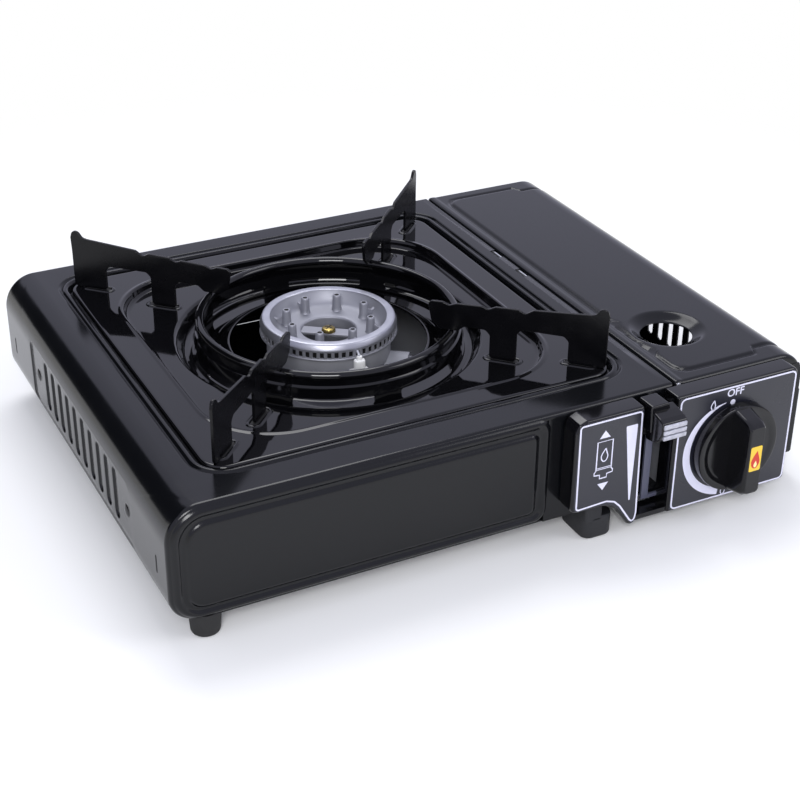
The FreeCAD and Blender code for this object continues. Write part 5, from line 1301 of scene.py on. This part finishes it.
def floor_paper(context):
    """The paper sweep, which turns plain white for the camera away from the stove's shadow."""
    paper = finish(context, "white_paper")
    tree = paper.node_tree
    output = next(item for item in tree.nodes if item.bl_idname == "ShaderNodeOutputMaterial")
    lit = output.inputs["Surface"].links[0].from_socket
    rays = add_node(tree, "ShaderNodeLightPath")
    place = add_node(tree, "ShaderNodeTexCoord")
    reach = add_node(tree, "ShaderNodeVectorMath", {"operation": "LENGTH"}, {0: place.outputs["Object"]})
    away = add_node(
        tree,
        "ShaderNodeMapRange",
        {"interpolation_type": "SMOOTHSTEP", "From Min": 0.24, "From Max": 0.6},
        {"Value": reach.outputs["Value"]},
    )
    seen = add_node(
        tree, "ShaderNodeMath", {"operation": "MAXIMUM"},
        {0: rays.outputs["Is Camera Ray"], 1: rays.outputs["Is Glossy Ray"]},
    )
    share = add_node(
        tree, "ShaderNodeMath", {"operation": "MULTIPLY"}, {0: away.outputs[0], 1: seen.outputs[0]}
    )
    white = add_node(tree, "ShaderNodeEmission", {"Color": (1, 1, 1, 1), "Strength": 1.0})
    mixed = add_node(tree, "ShaderNodeMixShader", {}, {0: share.outputs[0], 1: lit, 2: white.outputs[0]})
    tree.links.new(mixed.outputs[0], output.inputs["Surface"])
    return paper


def build_stage(context):
    """The floor, the soft studio lights, the white surroundings and the camera."""
    scene = context.scene
    mesh = bpy.data.meshes.new("studio_floor")
    mesh.from_pydata(
        [(x * FLOOR_HALF, y * FLOOR_HALF, FLOOR_Z) for x, y in ((-1, -1), (1, -1), (1, 1), (-1, 1))], [],
        [(0, 1, 2, 3)]
    )
    floor = bpy.data.objects.new("studio_floor", mesh)
    scene.collection.objects.link(floor)
    mesh.materials.append(floor_paper(context))
    card = bpy.data.meshes.new("black_flag")
    low, high = 0.05, 2.0
    ends = ((-2.1, 0.35), (-0.75, 1.95))
    corners = [(x, y, z) for z in (low, high) for x, y in ends]
    card.from_pydata(corners, [], [(0, 1, 3, 2)])
    flag = bpy.data.objects.new("black_flag", card)
    scene.collection.objects.link(flag)
    card.materials.append(finish(context, "black_duvetyn"))
    flag.visible_camera = False
    flag.visible_diffuse = False
    flag.visible_shadow = False
    for name, place, target, size, power in (
        ("key_softbox", (-0.72, -1.3, 0.95), (0, 0, 0.05), 0.6, 16),
        ("fill_softbox", (1.3, -1.1, 1.2), (0, 0, 0.05), 0.9, 8),
        ("top_softbox", (0.2, 0.9, 1.7), (0, 0, 0.05), 1.0, 14),
    ):
        lamp = bpy.data.lights.new(name, "AREA")
        lamp.size = size
        lamp.energy = power
        holder = bpy.data.objects.new(name, lamp)
        holder.location = place
        holder.rotation_euler = (Vector(target) - Vector(place)).to_track_quat("-Z", "Y").to_euler()
        scene.collection.objects.link(holder)
    world = bpy.data.worlds.new("white_studio")
    world.use_nodes = True
    tree = world.node_tree
    tree.nodes.clear()
    rays = add_node(tree, "ShaderNodeLightPath")
    seen = add_node(
        tree, "ShaderNodeMath", {"operation": "ADD", "use_clamp": True},
        {0: rays.outputs["Is Glossy Ray"], 1: rays.outputs["Is Transmission Ray"]},
    )
    light = add_node(tree, "ShaderNodeBackground", {"Color": linear("#E4E7F4"), "Strength": 0.7})
    mirrored = add_node(tree, "ShaderNodeBackground", {"Color": linear("#DFE0F6"), "Strength": 1.0})
    white = add_node(tree, "ShaderNodeBackground", {"Color": (1, 1, 1, 1), "Strength": 1.0})
    unseen = add_node(
        tree, "ShaderNodeMixShader", {}, {0: seen.outputs[0], 1: light.outputs[0], 2: mirrored.outputs[0]}
    )
    mixed = add_node(
        tree, "ShaderNodeMixShader", {},
        {0: rays.outputs["Is Camera Ray"], 1: unseen.outputs[0], 2: white.outputs[0]},
    )
    add_node(tree, "ShaderNodeOutputWorld", {}, {"Surface": mixed.outputs[0]})
    scene.world = world
    lens = bpy.data.cameras.new("photo_camera")
    lens.lens = 73.0
    lens.sensor_width = 36.0
    camera = bpy.data.objects.new("photo_camera", lens)
    scene.collection.objects.link(camera)
    az, el = CAMERA_AZIMUTH, CAMERA_ELEVATION
    back = Vector((math.sin(az) * math.cos(el), -math.cos(az) * math.cos(el), math.sin(el)))
    right = (-back).cross(Vector((0, 0, 1))).normalized()
    up = right.cross(-back)
    c, s = math.cos(CAMERA_ROLL), math.sin(CAMERA_ROLL)
    axes = Matrix((right * c + up * s, up * c - right * s, back)).transposed()
    camera.matrix_world = Matrix.Translation(CAMERA_PLACE) @ axes.to_4x4()
    scene.camera = camera
    scene.view_settings.view_transform = "Standard"


# Add-on

class STOVE_OT_inner_parts(bpy.types.Operator):
    """Give every CAD piece that stays visible the finish of its material slot"""

    bl_idname = "stove.inner_parts"
    bl_label = "Inner parts"

    def execute(self, context):
        build_inner_parts(context)
        return {"FINISHED"}


class STOVE_OT_case_top(bpy.types.Operator):
    """Build the pressed top with its burner recess, seam edge, shoulder and left wall"""

    bl_idname = "stove.case_top"
    bl_label = "Case top"

    def execute(self, context):
        build_case_top(context)
        return {"FINISHED"}


class STOVE_OT_case_ends(bpy.types.Operator):
    """Build the front and back plates with their beads and raised panels"""

    bl_idname = "stove.case_ends"
    bl_label = "Case ends"

    def execute(self, context):
        build_case_ends(context)
        return {"FINISHED"}


class STOVE_OT_feet(bpy.types.Operator):
    """Build the rubber feet, the moulded front foot and the wall screws' heads"""

    bl_idname = "stove.feet"
    bl_label = "Feet and wall screws"

    def execute(self, context):
        build_feet(context)
        return {"FINISHED"}


class STOVE_OT_lid(bpy.types.Operator):
    """Build the lid with its rolled hinge edge, pressed line and finger hole"""

    bl_idname = "stove.lid"
    bl_label = "Cartridge lid"

    def execute(self, context):
        build_lid(context)
        return {"FINISHED"}


class STOVE_OT_drip_tray(bpy.types.Operator):
    """Build the enamelled drip tray with the seats of its pan supports"""

    bl_idname = "stove.drip_tray"
    bl_label = "Drip tray"

    def execute(self, context):
        build_drip_tray(context)
        return {"FINISHED"}


class STOVE_OT_pan_ring(bpy.types.Operator):
    """Build the pan ring with its rolled rim and pierced band"""

    bl_idname = "stove.pan_ring"
    bl_label = "Pan ring"

    def execute(self, context):
        build_pan_ring(context)
        return {"FINISHED"}


class STOVE_OT_pan_supports(bpy.types.Operator):
    """Build the four pan supports"""

    bl_idname = "stove.pan_supports"
    bl_label = "Pan supports"

    def execute(self, context):
        build_pan_supports(context)
        return {"FINISHED"}


class STOVE_OT_burner(bpy.types.Operator):
    """Build the burner head with its ports and posts, its screw and the electrode"""

    bl_idname = "stove.burner"
    bl_label = "Burner"

    def execute(self, context):
        build_burner(context)
        return {"FINISHED"}


class STOVE_OT_controls(bpy.types.Operator):
    """Build the control housing with its two printed face plates"""

    bl_idname = "stove.controls"
    bl_label = "Control housing"

    def execute(self, context):
        build_controls(context)
        return {"FINISHED"}


class STOVE_OT_knob(bpy.types.Operator):
    """Build the gas knob with its sticker"""

    bl_idname = "stove.knob"
    bl_label = "Gas knob"

    def execute(self, context):
        build_knob(context)
        return {"FINISHED"}


class STOVE_OT_lever(bpy.types.Operator):
    """Build the lock lever's handle with its silver nose"""

    bl_idname = "stove.lever"
    bl_label = "Lock lever"

    def execute(self, context):
        build_lever(context)
        return {"FINISHED"}


class STOVE_OT_stage(bpy.types.Operator):
    """Build the floor, the lights, the surroundings and the camera"""

    bl_idname = "stove.stage"
    bl_label = "Studio"

    def execute(self, context):
        build_stage(context)
        return {"FINISHED"}


OPERATORS = [
    STOVE_OT_inner_parts,
    STOVE_OT_case_top,
    STOVE_OT_case_ends,
    STOVE_OT_feet,
    STOVE_OT_lid,
    STOVE_OT_drip_tray,
    STOVE_OT_pan_ring,
    STOVE_OT_pan_supports,
    STOVE_OT_burner,
    STOVE_OT_controls,
    STOVE_OT_knob,
    STOVE_OT_lever,
    STOVE_OT_stage,
]


class STOVE_PT_pieces(bpy.types.Panel):
    """Lists the stove's pieces in the order they are built"""

    bl_idname = "STOVE_PT_pieces"
    bl_label = "Cassette stove"
    bl_space_type = "VIEW_3D"
    bl_region_type = "UI"
    bl_category = "Stove"

    def draw(self, context):
        for group in (context.scene.stove_sizes, context.scene.stove_colours):
            box = self.layout.box()
            for name in group.__annotations__:
                box.prop(group, name)
        for operator in OPERATORS:
            self.layout.operator(operator.bl_idname)


CLASSES = [StoveSizes, StoveColours, *OPERATORS, STOVE_PT_pieces]


def register():
    """Adds the add-on's classes and its settings to Blender."""
    for item in CLASSES:
        bpy.utils.register_class(item)
    bpy.types.Scene.stove_sizes = PointerProperty(type=StoveSizes)
    bpy.types.Scene.stove_colours = PointerProperty(type=StoveColours)


def unregister():
    """Takes the add-on's classes and its settings away."""
    del bpy.types.Scene.stove_sizes
    del bpy.types.Scene.stove_colours
    for item in reversed(CLASSES):
        bpy.utils.unregister_class(item)


def main():
    """Builds every piece."""
    register()
    for operator in OPERATORS:
        group, name = operator.bl_idname.split(".")
        getattr(getattr(bpy.ops, group), name)()


if __name__ == "__main__":
    main()
